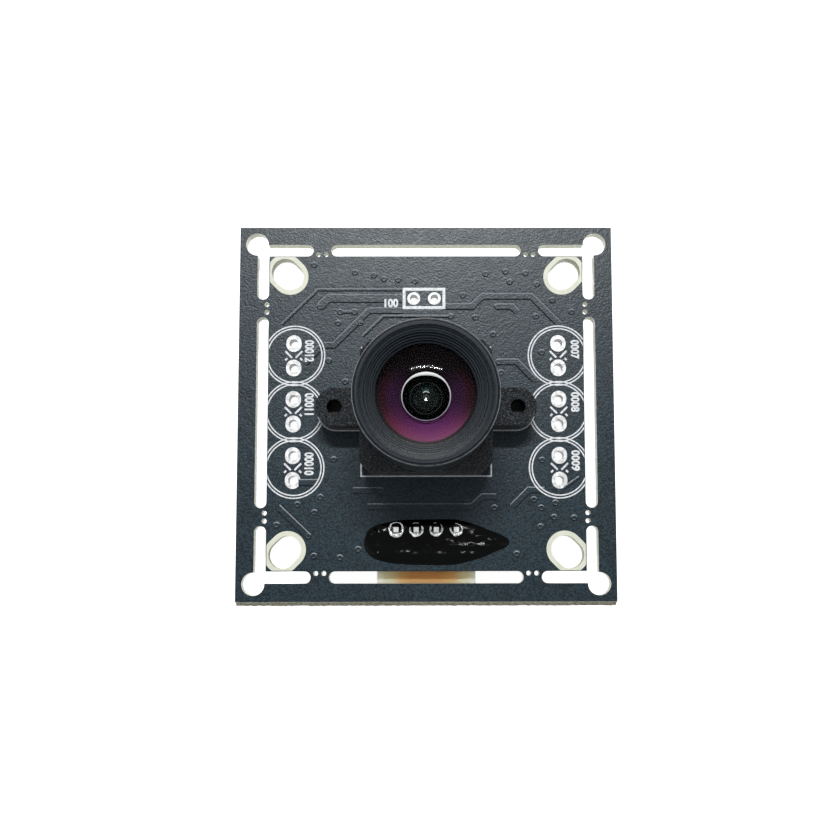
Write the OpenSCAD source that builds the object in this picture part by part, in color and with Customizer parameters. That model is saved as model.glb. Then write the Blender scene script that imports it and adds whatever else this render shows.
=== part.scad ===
/* [Board] */
// Side of the square circuit board
board_size = 38; // [37:0.5:44]
// Thickness of the board
board_t = 1.6; // [1:0.1:2]
// Width of the snap-off frame, from the board's edge to the inner edge of its slots
frame_w = 3; // [2.8:0.1:3.2]
// Width of the slots that part the frame from the inner board
slot_w = 1.2; // [0.8:0.1:1.2]
// Length of the long slot in the middle of each side
long_slot = 19.4; // [14:0.1:20]
// Width of each tab that holds the frame to the inner board
tab_w = 1.8; // [1.6:0.1:2.2]
// Diameter of the small holes that weaken each tab
bite_d = 0.5; // [0.3:0.05:0.6]
// Distance between the two small holes of a tab
bite_pitch = 0.8; // [0.7:0.05:0.9]
// Distance of the small holes outside the inner board's edge
bite_out = 0.2; // [0:0.05:0.5]
// Diameter of the four round corner holes
corner_hole_d = 2.3; // [2:0.1:2.4]
// Distance of the corner holes' centres from the board's edges
corner_hole_in = 1.75; // [1.7:0.05:1.8]

/* [Plated holes] */
// Thickness of the copper on the board's faces
foil_t = 0.05; // [0.03:0.01:0.07]
// Thickness of the plating on a hole's wall
plating_t = 0.05; // [0.03:0.01:0.07]
// Distance of the oval mounting holes from the inner board's edges
mount_in = 1.9; // [1.8:0.05:2.5]
// Width of an oval mounting hole
mount_w = 2.75; // [2:0.05:3]
// Length of an oval mounting hole, along the diagonal
mount_l = 3.5; // [3.2:0.05:3.6]
// Width of the bare ring round an oval mounting hole
mount_ring = 0.47; // [0.2:0.01:0.5]
// Gap between the ring and the edge of the inner board
mount_ring_gap = 0.08; // [0.05:0.01:0.3]

/* [Lamp places] */
// Distance of a column of lamps from the inner board's edge
lamp_in = 2.6; // [2.5:0.05:2.7]
// Spacing of the lamps in a column
lamp_pitch = 5.7; // [5.4:0.05:5.8]
// Number of lamps in a column
lamp_rows = 3; // [1:1:3]
// Distance between the two leads of a lamp
lamp_lead_pitch = 2.5; // [2.3:0.05:2.54]
// Diameter of a lead's hole
lamp_hole_d = 0.9; // [0.6:0.05:1]
// Width of the pad round a lead's hole
lamp_pad_d = 1.55; // [1.4:0.05:1.6]
// Length of that pad, up the board
lamp_pad_l = 1.7; // [1.6:0.05:1.8]
// Diameter of the circle printed round a lamp's place
lamp_ring_d = 6.2; // [5.4:0.05:6.4]
// Shift of the left column's printed circles towards the lens
lamp_ring_shift = 0.1; // [0:0.05:0.2]

/* [Light cell place] */
// Position of the cell's place across the board
cell_x = -0.2; // [-0.5:0.05:0.5]
// Distance of the cell's place from the board's upper edge
cell_in = 7.4; // [7:0.05:8]
// Distance between the cell's leads
cell_lead_pitch = 2.1; // [1.9:0.05:2.3]
// Diameter of the holes for the cell's leads
cell_hole_d = 0.8; // [0.6:0.05:0.9]
// Diameter of the pads round those holes
cell_pad_d = 1.3; // [1.1:0.05:1.4]
// Width of the box printed round the cell's place
cell_box_w = 4.35; // [4.1:0.05:5]
// Height of the box printed round the cell's place
cell_box_h = 2.2; // [2:0.05:2.6]

/* [Printing and tracks] */
// Thickness of the white print
ink_t = 0.03; // [0.02:0.01:0.05]
// Width of the line printed round the cell's place
wide_line = 0.3; // [0.2:0.01:0.35]
// Width of the other printed lines
fine_line = 0.13; // [0.08:0.01:0.16]
// Gap between the two circles printed round a lamp's place
ring_gap = 0.15; // [0.1:0.01:0.2]
// Length of the two slanted bars printed between a lamp's leads
sign_l = 0.95; // [0.7:0.05:1.1]
// Width of those bars
sign_w = 0.19; // [0.12:0.01:0.22]
// Length of the two short ticks printed below those bars
tick_l = 0.3; // [0.2:0.05:0.4]
// Width of the fine copper tracks
fine_track = 0.24; // [0.15:0.01:0.3]
// Width of the broad copper tracks
broad_track = 0.58; // [0.4:0.01:0.65]
// Width of the light cell's copper track
cell_track = 0.8; // [0.6:0.01:0.85]
// Gap between a track and the copper round it
track_gap = 0.2; // [0.12:0.01:0.25]
// Diameter of the small rings where tracks change side
via_d = 0.5; // [0.45:0.01:0.6]
// Diameter of the dimple in such a ring
via_hole_d = 0.2; // [0.15:0.01:0.25]
// Height of such a ring above the copper
via_rise = 0.03; // [0.02:0.01:0.05]

/* [Cable connector] */
// Number of contacts
pin_count = 4; // [2:1:5]
// Distance between neighbouring contacts
pin_pitch = 2; // [1.9:0.05:2.1]
// Distance of the row of contacts from the board's lower edge
pin_in = 7.1; // [6.8:0.05:7.2]
// Thickness of a contact's square wire
pin_w = 0.5; // [0.4:0.05:0.55]
// Diameter of the plated holes for the contacts
pin_hole_d = 0.85; // [0.8:0.05:0.95]
// Height to which the contacts stand above the board
pin_out = 0.9; // [0.8:0.05:1.4]
// Width of the housing beyond the outer contacts, on each side
housing_side = 1.95; // [1.8:0.05:2.4]
// Depth of the housing in front of the contacts
housing_front = 6.25; // [5.6:0.05:6.6]
// Depth of the housing behind the contacts
housing_back = 1.35; // [1.1:0.05:1.6]
// Height of the housing off the board's back
housing_h = 4.8; // [4.5:0.05:5.4]
// Thickness of the housing's walls
housing_wall = 0.75; // [0.6:0.05:0.8]
// Depth of the socket
socket_depth = 5.2; // [4.8:0.05:5.4]
// Gap under the housing between its two feet
housing_foot = 0.15; // [0.1:0.01:0.2]
// Width of the two keyways in the socket's outer wall
keyway_w = 1; // [0.6:0.05:1.1]
// Distance between the middles of the two keyways
keyway_pitch = 4.4; // [4:0.1:4.6]

/* [Solder and sealing resin] */
// Diameter of a solder joint
solder_d = 1.42; // [1.3:0.01:1.5]
// Height of a solder joint
solder_h = 0.75; // [0.7:0.05:0.8]
// Height of the sealing resin
resin_h = 0.4; // [0.3:0.05:0.45]
// Width of the resin's wide end
resin_w = 4.3; // [3.6:0.1:4.5]
// Width of the resin's narrow end
resin_tip_w = 1.6; // [1.2:0.1:2]
// Length of the resin
resin_l = 14.4; // [12:0.1:14.6]
// Distance of the resin's wide end from the middle of the board
resin_left = 6.1; // [5.8:0.1:6.2]
// Distance of the resin's middle line below the contacts
resin_drop = 1.2; // [1:0.05:1.4]

/* [Lens holder] */
// Side of the holder's square foot
foot_size = 12.9; // [12.8:0.1:13]
// Height of the square foot
foot_h = 5.5; // [5:0.1:6]
// Size of the chamfers on the foot's upright edges
foot_chamfer = 1; // [0.5:0.1:1.2]
// Outer diameter of the round tower
tower_d = 12.9; // [12.8:0.1:13]
// Height of the tower's top above the board
tower_h = 10; // [9.5:0.1:10.2]
// Spacing of the screws in the holder's two ears
ear_pitch = 18; // [17.8:0.1:18.4]
// Width of an ear
ear_w = 3.7; // [3.4:0.1:3.8]
// Height of an ear
ear_h = 4.3; // [4:0.1:4.8]
// Side of the square chamber over the image sensor
chamber_size = 10.4; // [10:0.1:10.6]
// Height of the chamber
chamber_h = 2.4; // [2.2:0.1:2.5]
// Thickness of the shelf between the filter and the thread
shelf_t = 0.6; // [0.4:0.05:0.8]
// Diameter of the window in the shelf
window_d = 7; // [6:0.1:7.2]
// Diameter of the lens thread
thread_d = 12; // [11.9:0.05:12.05]
// Clearance between the lens thread and the tower, on the radius
thread_gap = 0.06; // [0.03:0.01:0.08]
// Diameter of the screws from the back into the ears
screw_d = 1.5; // [1.4:0.05:1.6]
// Length of a screw's shank
screw_l = 3.6; // [3:0.1:4]
// Diameter of a screw's head
screw_head_d = 2.8; // [2.6:0.1:3]
// Height of a screw's head
screw_head_h = 0.9; // [0.8:0.05:1]
// Clearance between a screw and its hole in the board, on the radius
screw_gap = 0.1; // [0.05:0.01:0.15]
// Width of the cross in a screw's head
cross_w = 0.4; // [0.3:0.05:0.45]
// Length of the cross in a screw's head
cross_l = 1.6; // [1.4:0.1:1.8]
// Depth of the cross in a screw's head
cross_depth = 0.5; // [0.4:0.05:0.55]

/* [Lens] */
// Diameter of the lens head
head_d = 13.4; // [13.1:0.1:14]
// Height of the lens head
head_h = 4.9; // [4.8:0.1:5.4]
// Height of the head's underside above the holder's tower
focus_gap = 1; // [0.8:0.05:1.4]
// Length of the threaded barrel below the head
barrel_l = 6.6; // [6.4:0.1:6.8]
// Width of the flat rim round the lens's mouth
rim_w = 0.45; // [0.2:0.05:0.5]
// Bevel on the outer edge of the lens head
rim_bevel = 0.1; // [0.05:0.05:0.25]
// Outer diameter of the ring that holds the front lens
ring_d = 11.4; // [11.3:0.1:11.6]
// Depth of that ring below the lens's mouth
ring_in = 0.4; // [0.3:0.05:0.6]
// Number of steps down the ring's mouth
ring_steps = 4; // [3:1:4]
// Width of the ring's stepped face
ring_face = 1.05; // [0.9:0.05:1.2]
// Width of the ring outside the front lens
ring_ledge = 0.5; // [0.4:0.05:0.6]
// Thickness of the front lens at its edge
front_edge = 1.5; // [1.3:0.05:1.6]
// Radius of the front lens's outer face
front_r = 14; // [13:0.5:20]
// Diameter of the hollow in the front lens's back
bowl_d = 4.5; // [4:0.1:4.8]
// Radius of the hollow in the front lens's back
bowl_r = 2.6; // [2.5:0.05:3.2]
// Thickness of the black ring behind the front lens
spacer_t = 1; // [0.8:0.05:1.1]
// Height of the lip's top above the head's underside
lip_rise = 0.4; // [0.2:0.05:0.6]
// Thickness of the lip inside the barrel
lip_t = 0.5; // [0.4:0.05:0.6]
// Opening of the lip inside the barrel
lip_d = 5.2; // [5:0.1:5.6]
// Diameter of the inner lenses
inner_d = 7.2; // [7:0.1:7.6]
// Thickness of the second lens at its edge
second_edge = 1.2; // [1.1:0.05:1.3]
// Radius of the second lens's outer face
second_r = 5.5; // [5:0.1:8]
// Radius of the second lens's back face
second_back_r = 3; // [2.8:0.1:4]
// Diameter of the hollow in the second lens's back
second_bowl_d = 3.8; // [3:0.1:4]
// Thickness of the aperture plate
stop_t = 0.3; // [0.2:0.05:0.35]
// Diameter of the aperture
stop_d = 2; // [1.6:0.1:2.4]
// Length of the tube between the aperture plate and the rear lens
tube_l = 1; // [0.9:0.05:1.1]
// Wall of that tube
tube_wall = 0.8; // [0.6:0.05:1]
// Thickness of the rear lens
rear_t = 2.6; // [2.4:0.1:2.7]
// Radius of the rear lens's last face
rear_r = 7; // [6:0.5:12]
// Thickness of the ring that holds the rear lens
rear_ring_t = 0.6; // [0.5:0.05:0.65]
// Opening of the ring that holds the rear lens
rear_ring_open = 5.4; // [5:0.1:5.6]

/* [Image sensor] */
// Side of the infrared filter
filter_size = 8; // [7.8:0.1:8.4]
// Thickness of the infrared filter
filter_t = 0.3; // [0.2:0.05:0.4]
// Side of the sensor's package
package_size = 8.4; // [8:0.1:9]
// Height of the sensor's package
package_h = 1; // [0.9:0.05:1.1]
// Wall of the sensor's package
package_wall = 1; // [0.8:0.05:1.1]
// Floor of the sensor's package
package_floor = 0.35; // [0.3:0.05:0.4]
// Width of the sensor's chip
die_w = 5.6; // [5:0.1:5.8]
// Height of the sensor's chip
die_l = 4.2; // [3.6:0.1:4.6]
// Thickness of the sensor's chip
die_t = 0.3; // [0.2:0.05:0.35]
// Side of the sensor's cover glass
cover_size = 7.4; // [7.2:0.1:7.8]
// Thickness of the sensor's cover glass
cover_t = 0.4; // [0.3:0.05:0.5]

/* [Parts on the back] */
// Side of the video processor
processor_size = 9; // [8:0.1:9.4]
// Height of the video processor
processor_h = 0.85; // [0.7:0.05:1]
// Position of the video processor up the board
processor_y = 1.5; // [1:0.1:1.8]
// Number of lands on each side of the processor
processor_lands = 16; // [8:1:16]
// Distance between neighbouring lands of the processor
processor_land_pitch = 0.5; // [0.45:0.01:0.5]
// Width of the flash memory's body
flash_w = 4.9; // [4.6:0.1:5.2]
// Length of the flash memory's body
flash_l = 3.9; // [3.7:0.1:4.1]
// Height of the flash memory's body
flash_h = 1.5; // [1.3:0.05:1.7]
// Distance between neighbouring leads of the flash memory
flash_lead_pitch = 1.27; // [1.2:0.01:1.3]
// Width of the voltage regulators' bodies
regulator_w = 2.9; // [2.7:0.1:3.1]
// Length of the voltage regulators' bodies
regulator_l = 1.6; // [1.5:0.05:1.7]
// Height of the voltage regulators' bodies
regulator_h = 1.1; // [0.9:0.05:1.2]
// Distance between neighbouring leads of a regulator
regulator_lead_pitch = 0.95; // [0.85:0.01:1]
// Thickness of the bent leads
lead_t = 0.2; // [0.15:0.01:0.25]
// Length of the crystal's can
crystal_l = 3.2; // [3:0.1:3.4]
// Width of the crystal's can
crystal_w = 2.5; // [2.3:0.1:2.7]
// Height of the crystal's can
crystal_h = 0.8; // [0.7:0.05:1]
// Length of the small two-ended parts
chip_l = 1.1; // [1:0.05:1.2]
// Width of the small two-ended parts
chip_w = 0.6; // [0.5:0.05:0.7]
// Height of a capacitor
capacitor_h = 0.55; // [0.5:0.05:0.7]
// Height of a resistor
resistor_h = 0.35; // [0.3:0.05:0.4]
// Length of the metal on each end of a small part
chip_end = 0.28; // [0.2:0.01:0.3]

/* [Hidden] */
$fn = 64;

cut = 1;                                   // how far a cutting tool runs past a face
sides = [-1, 1];

// Board
inner_half = board_size / 2 - frame_w;
slot_line = inner_half + slot_w / 2;
arm_start = long_slot / 2 + tab_w;
tab_middle = long_slot / 2 + tab_w / 2;
bite_line = inner_half + bite_out;
corner_at = board_size / 2 - corner_hole_in;
mount_at = inner_half - mount_in;

// Lamps and light cell
bar_spot = [0.52, 0.13];                   // middle of a slanted bar from the lamp's middle
tick_spot = [0.75, -0.36];                 // middle of a tick from the lamp's middle
lamp_x = inner_half - lamp_in;
lamp_rise = [for (row = [0:lamp_rows - 1]) (row - (lamp_rows - 1) / 2) * lamp_pitch];
lamp_spots = [for (s = sides, y = lamp_rise) [s * lamp_x, y]];
lamp_leads = [for (spot = lamp_spots, s = sides) spot + [0, s * lamp_lead_pitch / 2]];
cell_y = board_size / 2 - cell_in;
cell_leads = [for (s = sides) [cell_x + s * cell_lead_pitch / 2, cell_y]];

// Connector
pin_y = pin_in - board_size / 2;
pin_spots = [for (i = [0:pin_count - 1]) [(i - (pin_count - 1) / 2) * pin_pitch, pin_y]];
housing_w = (pin_count - 1) * pin_pitch + 2 * housing_side;
housing_front_y = pin_y - housing_front;
housing_back_y = pin_y + housing_back;
socket_mid_z = -(housing_foot + housing_h) / 2;
pin_reach = 1;                             // how far a contact ends inside the socket's mouth

// Lens holder: heights are above the board's underside
board_top = board_t;
ear_at = ear_pitch / 2;
filter_z = board_top + chamber_h;
shelf_z = filter_z + filter_t;
bore_z = shelf_z + shelf_t;
tower_top = board_top + tower_h;
bore_d = thread_d + 2 * thread_gap;
outline_gap = 0.02;                        // between the holder's foot and the line printed round it

// Lens stack, from its mouth down
seat_gap = 0.02;                           // play between a glass face and the ring on it
head_z = tower_top + focus_gap;
mouth_z = head_z + head_h;
barrel_z = head_z - barrel_l;
lip_top = head_z + lip_rise;
ring_open_d = ring_d - 2 * ring_face;
front_d = ring_d - 2 * ring_ledge;
spacer_z = lip_top;
front_z = spacer_z + spacer_t;
front_rim_z = front_z + front_edge;
front_vertex = front_rim_z + cap_height(front_r, front_d);
ring_z = front_vertex - cap_height(front_r, ring_open_d) + seat_gap;
ring_top = mouth_z - ring_in;
lip_z = lip_top - lip_t;
second_z = lip_z - second_edge;
stop_z = second_z - stop_t;
tube_z = stop_z - tube_l;
rear_z = tube_z - rear_t;
rear_ring_z = rear_z - rear_ring_t;
ring_step = (ring_d - ring_open_d) / 2 / (ring_steps + 1);
ring_rise = (ring_top - ring_z) / ring_steps;

// Image sensor
cover_z = board_top + package_h;

// Back of the board
processor_corner = processor_size / 2 - (processor_lands - 1) / 2 * processor_land_pitch;
land_w = processor_land_pitch / 2;
land_l = 0.4;
land_t = 0.2;
land_out = 0.06;                           // how far the lands show past the processor's side
chip_gap = 0.6;                            // clear board between a small part and its neighbour
chip_step = 1.25;
flash_up = 8.4;                            // the flash memory and the crystal above the processor
crystal_up = 7.4;
flash_spot = [-6.8, processor_y + flash_up];
flash_leads_per_side = 4;
flash_lead_w = 0.42;
flash_foot = 1.05;                         // how far a lead reaches past the body
crystal_spot = [6.9, processor_y + crystal_up];
regulator_pitch = 7.6;
regulator_up = 3.6;                        // distance of the regulators from the connector's housing
regulator_spots = [for (i = [-1:1]) [i * regulator_pitch, housing_back_y + regulator_up]];
regulator_foot = 0.6;
regulator_lead_w = 0.4;
row_in = 0.9;                              // the capacitors' rows from the processor's corners
capacitor_side = processor_size / 2 + chip_l / 2 + chip_gap;
capacitor_spots = concat(
    [for (s = sides, e = sides, i = [-1:1])
        [s * capacitor_side, processor_y + e * (processor_size / 2 - row_in) + i * chip_step, 0]],
    [for (spot = regulator_spots, s = sides)
        [spot[0] + s * (regulator_w / 2 + chip_w / 2 + chip_gap), spot[1], 90]]);
resistor_spots = concat(
    [for (i = [-2:2]) [i * chip_step, processor_y + capacitor_side, 90]],
    [for (i = [-1.5:1.5]) [crystal_spot[0] + i * chip_step,
        crystal_spot[1] + crystal_w / 2 + chip_l / 2 + chip_gap, 90]],
    [for (s = sides) [s * chip_step, housing_back_y + chip_w / 2 + chip_gap, 0]]);

// Copper on the front: each track is a width and a list of corners
tracks = [
    [fine_track, [[-14.64, 8.93], [-11, 12.51], [-2.39, 12.51]]],
    [fine_track, [[-6.45, 7.69], [-4.34, 9.75], [2.53, 9.75]]],
    [fine_track, [[-8.72, 10.21], [-7.25, 10.21]]],
    [fine_track, [[13.86, -7.72], [15.4, -6.64]]],
    [cell_track, [[-10.79, 10.73], [-9.95, 11.6], [-2.39, 11.6]]],
    [broad_track, [[-10.4, 6.78], [-9.32, 6.78], [-5.8, 10.34], [-2.3, 10.34]]],
    [broad_track, [[1.8, 10.77], [4.71, 10.77], [5.77, 11.81], [10.72, 11.81], [13.58, 8.88]]],
    [broad_track, [[7.26, 10.75], [8.73, 10.75], [9.26, 10.18]]],
    [broad_track, [[7.33, 5.06], [9.19, 5.06], [10.97, 3.2]]],
    [broad_track, [[-14.87, -9.59], [-11.79, -12.5]]],
    [broad_track, [[-7.32, -7.96], [-4.6, -7.96]]],
    [broad_track, [[-5.87, -9.59], [4.55, -9.59], [5.67, -8.6], [7, -8.6]]],
    [broad_track, [[8.61, -9.6], [10.29, -7.94], [11.85, -7.94]]],
    [broad_track, [[-12.8, -7.14], [-10.89, -7.14]]],
    [broad_track, [[-12.28, 4.9], [-10.67, 6.61]]]];
vias = [
    [-10.79, 10.73], [2.53, 9.75], [-8.72, 10.21], [-7.25, 10.21], [7.26, 10.75], [7.33, 5.06],
    [-11.79, -12.5], [-4.6, -7.96], [-7.24, 14.3], [-5.31, 14.01], [-4.28, 13.61], [-2.84, 13.55],
    [-1.12, 13.38], [-11.42, 15.09], [-8.94, 9.07], [-6.68, 9.07], [-9.87, 5.18], [-8.17, 3.05],
    [6.09, 14.15], [8.12, 14.39], [10.16, 14.24], [8.55, 13.31], [11.34, 13.06], [12.87, 11.41],
    [14.83, 10.2], [11.19, 9.74], [5.04, 9.63], [6.82, 7.91], [3.78, 11.93], [11.74, 6.02],
    [7.6, 3.97], [-10.6, -8.62], [-12.89, -9.36], [-11.18, -10.14], [-14.93, -11.39],
    [-11.19, -14.48], [-8.61, -14.65], [-6.79, -13.83], [-9.29, -4.84], [10.79, -8.88],
    [11.52, -9.72], [12.79, -10.66], [14.79, -10.72], [12.95, -9.22], [11.42, -11.6],
    [6.83, -9.71], [9.01, -14.3], [11.64, -4.92]];

function cap_height(radius, width) = radius - sqrt(radius * radius - width * width / 4);
function unit(v) = v / norm(v);
function left_of(v) = [-v[1], v[0]];
// the corner of a band's edge, where the edges of its two stretches meet
function band_corner(route, i, shift, over) =
    let (last = len(route) - 1,
         before = unit(i > 0 ? route[i] - route[i - 1] : route[1] - route[0]),
         after = unit(i < last ? route[i + 1] - route[i] : route[last] - route[last - 1]),
         bisector = unit(left_of(before) + left_of(after)),
         run = i == 0 ? -over : i == last ? over : 0)
    route[i] + before * run + bisector * shift / (bisector * left_of(before));
// a strip of one width along a route, which runs over both of the route's ends
function band(route, width, over) = concat(
    [for (i = [0:len(route) - 1]) band_corner(route, i, width / 2, over)],
    [for (i = [len(route) - 1:-1:0]) band_corner(route, i, -width / 2, over)]);

module obround(length, width) {
    for (s = sides) translate([s * (length - width) / 2, 0]) circle(d = width);
    square([length - width, width], center = true);
}

// a slot between two points, with round ends
module slot_between(a, b, width) {
    translate((a + b) / 2)
        rotate(atan2(b[1] - a[1], b[0] - a[0])) obround(norm(b - a) + width, width);
}

module at_mounts() {
    for (x = sides, y = sides)
        translate([x * mount_at, y * mount_at]) rotate(45 * x * y) children();
}

module at_ears() {
    for (s = sides) translate([s * ear_at, 0, 0]) children();
}

module frame_slots() {
    corner = [slot_line, slot_line];
    for (turn = [0:90:270]) rotate(turn) {
        translate([0, slot_line]) obround(long_slot, slot_w);
        slot_between([arm_start + slot_w / 2, slot_line], corner, slot_w);
        slot_between([slot_line, arm_start + slot_w / 2], corner, slot_w);
        for (tab = sides, bite = sides)
            translate([tab * tab_middle + bite * bite_pitch / 2, bite_line]) circle(d = bite_d, $fn = 24);
    }
}

module drill(spots, d) {
    for (spot = spots) translate([spot[0], spot[1], -cut]) cylinder(d = d, h = board_t + 2 * cut);
}

module circuit_board() {
    color("darkslategray") difference() {
        linear_extrude(board_t) difference() {
            square(board_size, center = true);
            frame_slots();
            for (x = sides, y = sides) translate([x * corner_at, y * corner_at]) circle(d = corner_hole_d);
            at_mounts() obround(mount_l + 2 * plating_t, mount_w + 2 * plating_t);
        }
        drill(lamp_leads, lamp_hole_d + 2 * plating_t);
        drill(cell_leads, cell_hole_d + 2 * plating_t);
        drill(pin_spots, pin_hole_d + 2 * plating_t);
        drill([for (s = sides) [s * ear_at, 0]], screw_d + 2 * screw_gap);
    }
}

module mounting_rings() {
    color("antiquewhite") difference() {
        union() {
            for (z = [-foil_t, board_t]) translate([0, 0, z]) linear_extrude(foil_t) intersection() {
                at_mounts() obround(mount_l + 2 * mount_ring, mount_w + 2 * mount_ring);
                square(2 * (inner_half - mount_ring_gap), center = true);
            }
            linear_extrude(board_t) at_mounts() obround(mount_l + 2 * plating_t, mount_w + 2 * plating_t);
        }
        translate([0, 0, -cut]) linear_extrude(board_t + 2 * cut) at_mounts() obround(mount_l, mount_w);
    }
}

// a pad with round ends, longer up the board than across it
module pad_shape(width, length) {
    for (s = sides) translate([0, s * (length - width) / 2]) circle(d = width);
    if (length > width) square([width, length - width], center = true);
}

module plated_holes(spots, hole_d, pad_d, pad_l) {
    for (spot = spots) translate([spot[0], spot[1], 0]) difference() {
        union() {
            for (z = [-foil_t, board_t]) translate([0, 0, z]) linear_extrude(foil_t) pad_shape(pad_d, pad_l);
            cylinder(d = hole_d + 2 * plating_t, h = board_t);
        }
        translate([0, 0, -cut]) cylinder(d = hole_d, h = board_t + 2 * cut);
    }
}

module lamp_pads() {
    color("gainsboro") plated_holes(lamp_leads, lamp_hole_d, lamp_pad_d, lamp_pad_l);
}

module cell_pads() {
    color("gainsboro") plated_holes(cell_leads, cell_hole_d, cell_pad_d, cell_pad_d);
}

module connector_pads() {
    color("gainsboro") plated_holes(pin_spots, pin_hole_d, solder_d, solder_d);
}

module foot_shape() {
    difference() {
        square(foot_size, center = true);
        for (x = sides, y = sides) translate([x, y] * foot_size / 2)
            rotate(45) square(foot_chamfer * sqrt(2), center = true);
    }
}

module holder_outline(grow = 0) {
    offset(delta = grow) {
        foot_shape();
        obround(ear_pitch + ear_w, ear_w);
    }
}

// clear ground round everything that stands on the front of the board
module front_keepout() {
    holder_outline(outline_gap);
    for (spot = lamp_leads) translate(spot) pad_shape(lamp_pad_d, lamp_pad_l);
    for (spot = cell_leads) translate(spot) circle(d = cell_pad_d);
    at_mounts() obround(mount_l + 2 * mount_ring, mount_w + 2 * mount_ring);
    resin_outline();
}

module ring_line(d, width) {
    difference() {
        circle(d = d);
        circle(d = d - 2 * width);
    }
}

module box_line(size, width) {
    difference() {
        square(size, center = true);
        square(size - [2, 2] * width, center = true);
    }
}

// the sign between a lamp's two leads: two bars that slant towards each other, and two ticks
module lamp_sign() {
    for (side = sides) {
        translate([side * bar_spot[0], bar_spot[1]]) rotate(side * 45)
            square([sign_l, sign_w], center = true);
        translate([side * tick_spot[0], tick_spot[1]]) rotate(side * -45)
            square([tick_l, sign_w], center = true);
    }
}

module marking_lines() {
    for (spot = lamp_spots) translate(spot) {
        translate([spot[0] < 0 ? lamp_ring_shift : 0, 0]) {
            ring_line(lamp_ring_d, fine_line);
            ring_line(lamp_ring_d - 2 * (fine_line + ring_gap), fine_line);
        }
        lamp_sign();
    }
    translate([cell_x, cell_y]) box_line([cell_box_w, cell_box_h], wide_line);
    box_line([1, 1] * (foot_size + 2 * (outline_gap + fine_line)), fine_line);
    difference() {
        obround(ear_pitch + ear_w + 2 * (outline_gap + fine_line), ear_w + 2 * (outline_gap + fine_line));
        obround(ear_pitch + ear_w + 2 * outline_gap, ear_w + 2 * outline_gap);
    }
}

module coated_area() {
    square(2 * (inner_half - mount_ring_gap), center = true);
}

module marking_shape() {
    intersection() {
        difference() {
            marking_lines();
            front_keepout();
        }
        coated_area();
    }
}

module board_markings() {
    color("white") translate([0, 0, board_top + foil_t]) linear_extrude(ink_t) marking_shape();
}

module tracks_shape(grow = 0) {
    for (track = tracks) polygon(band(track[1], track[0] + 2 * grow, grow));
}

// a sheet of copper over the whole inner board, with a groove on both sides of each track
module front_tracks() {
    color("slategray") translate([0, 0, board_top]) difference() {
        union() {
            linear_extrude(foil_t) difference() {
                coated_area();
                difference() {
                    tracks_shape(track_gap);
                    tracks_shape();
                }
                front_keepout();
            }
            for (spot = vias) translate(spot) cylinder(d = via_d, h = foil_t + via_rise, $fn = 24);
        }
        for (spot = vias) translate([spot[0], spot[1], -cut])
            cylinder(d = via_hole_d, h = foil_t + via_rise + 2 * cut, $fn = 16);
    }
}

// housing drawn lying under the board, its socket open towards the board's lower edge
module connector_housing() {
    inside_w = housing_w - 2 * housing_wall;
    inside_h = housing_h - housing_foot - 2 * housing_wall;
    color("tan") difference() {
        union() {
            translate([-housing_w / 2, housing_front_y, -housing_h])
                cube([housing_w, housing_front + housing_back, housing_h - housing_foot]);
            for (side = [-housing_w / 2, housing_w / 2 - housing_wall])
                translate([side, housing_front_y, -housing_h])
                    cube([housing_wall, housing_front + housing_back, housing_h]);
        }
        translate([-inside_w / 2, housing_front_y - cut, socket_mid_z - inside_h / 2])
            cube([inside_w, socket_depth + cut, inside_h]);
        for (s = sides)
            translate([s * keyway_pitch / 2 - keyway_w / 2, housing_front_y - cut, -housing_h - cut])
                cube([keyway_w, socket_depth + cut, housing_wall + 2 * cut]);
        connector_pins();
    }
}

// each contact runs out of the socket's back wall and turns up through the board
module connector_pins() {
    leg_z = socket_mid_z - pin_w / 2;
    color("gold") for (spot = pin_spots) translate([spot[0] - pin_w / 2, 0, 0]) {
        translate([0, spot[1] - pin_w / 2, leg_z]) cube([pin_w, pin_w, board_top + pin_out - leg_z]);
        translate([0, housing_front_y + pin_reach, leg_z])
            cube([pin_w, spot[1] - housing_front_y - pin_reach, pin_w]);
    }
}

// a ring of solder: upright below, then a hollow cone that climbs the contact
module solder_joints() {
    color("silver") for (spot = pin_spots) translate([spot[0], spot[1], board_top + foil_t]) difference() {
        union() {
            cylinder(d = solder_d, h = resin_h);
            translate([0, 0, resin_h]) cylinder(d1 = solder_d, d2 = pin_w * sqrt(2), h = solder_h - resin_h);
        }
        translate([-pin_w / 2, -pin_w / 2, -cut]) cube([pin_w, pin_w, solder_h + 2 * cut]);
    }
}

module resin_outline() {
    wide = [-resin_left + resin_w / 2, pin_y - resin_drop];
    tip = [-resin_left + resin_l - resin_tip_w / 2, pin_y - resin_drop];
    hull() {
        translate(wide) circle(d = resin_w);
        translate((wide + tip) / 2) circle(d = resin_w);
        translate(tip) circle(d = resin_tip_w);
    }
    for (spot = pin_spots) translate(spot) circle(d = solder_d + resin_h);
}

module sealing_resin() {
    color("black") translate([0, 0, board_top]) difference() {
        linear_extrude(resin_h + foil_t) resin_outline();
        for (spot = pin_spots)
            translate([spot[0], spot[1], -cut]) cylinder(d = solder_d, h = resin_h + 2 * cut);
    }
}

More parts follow.
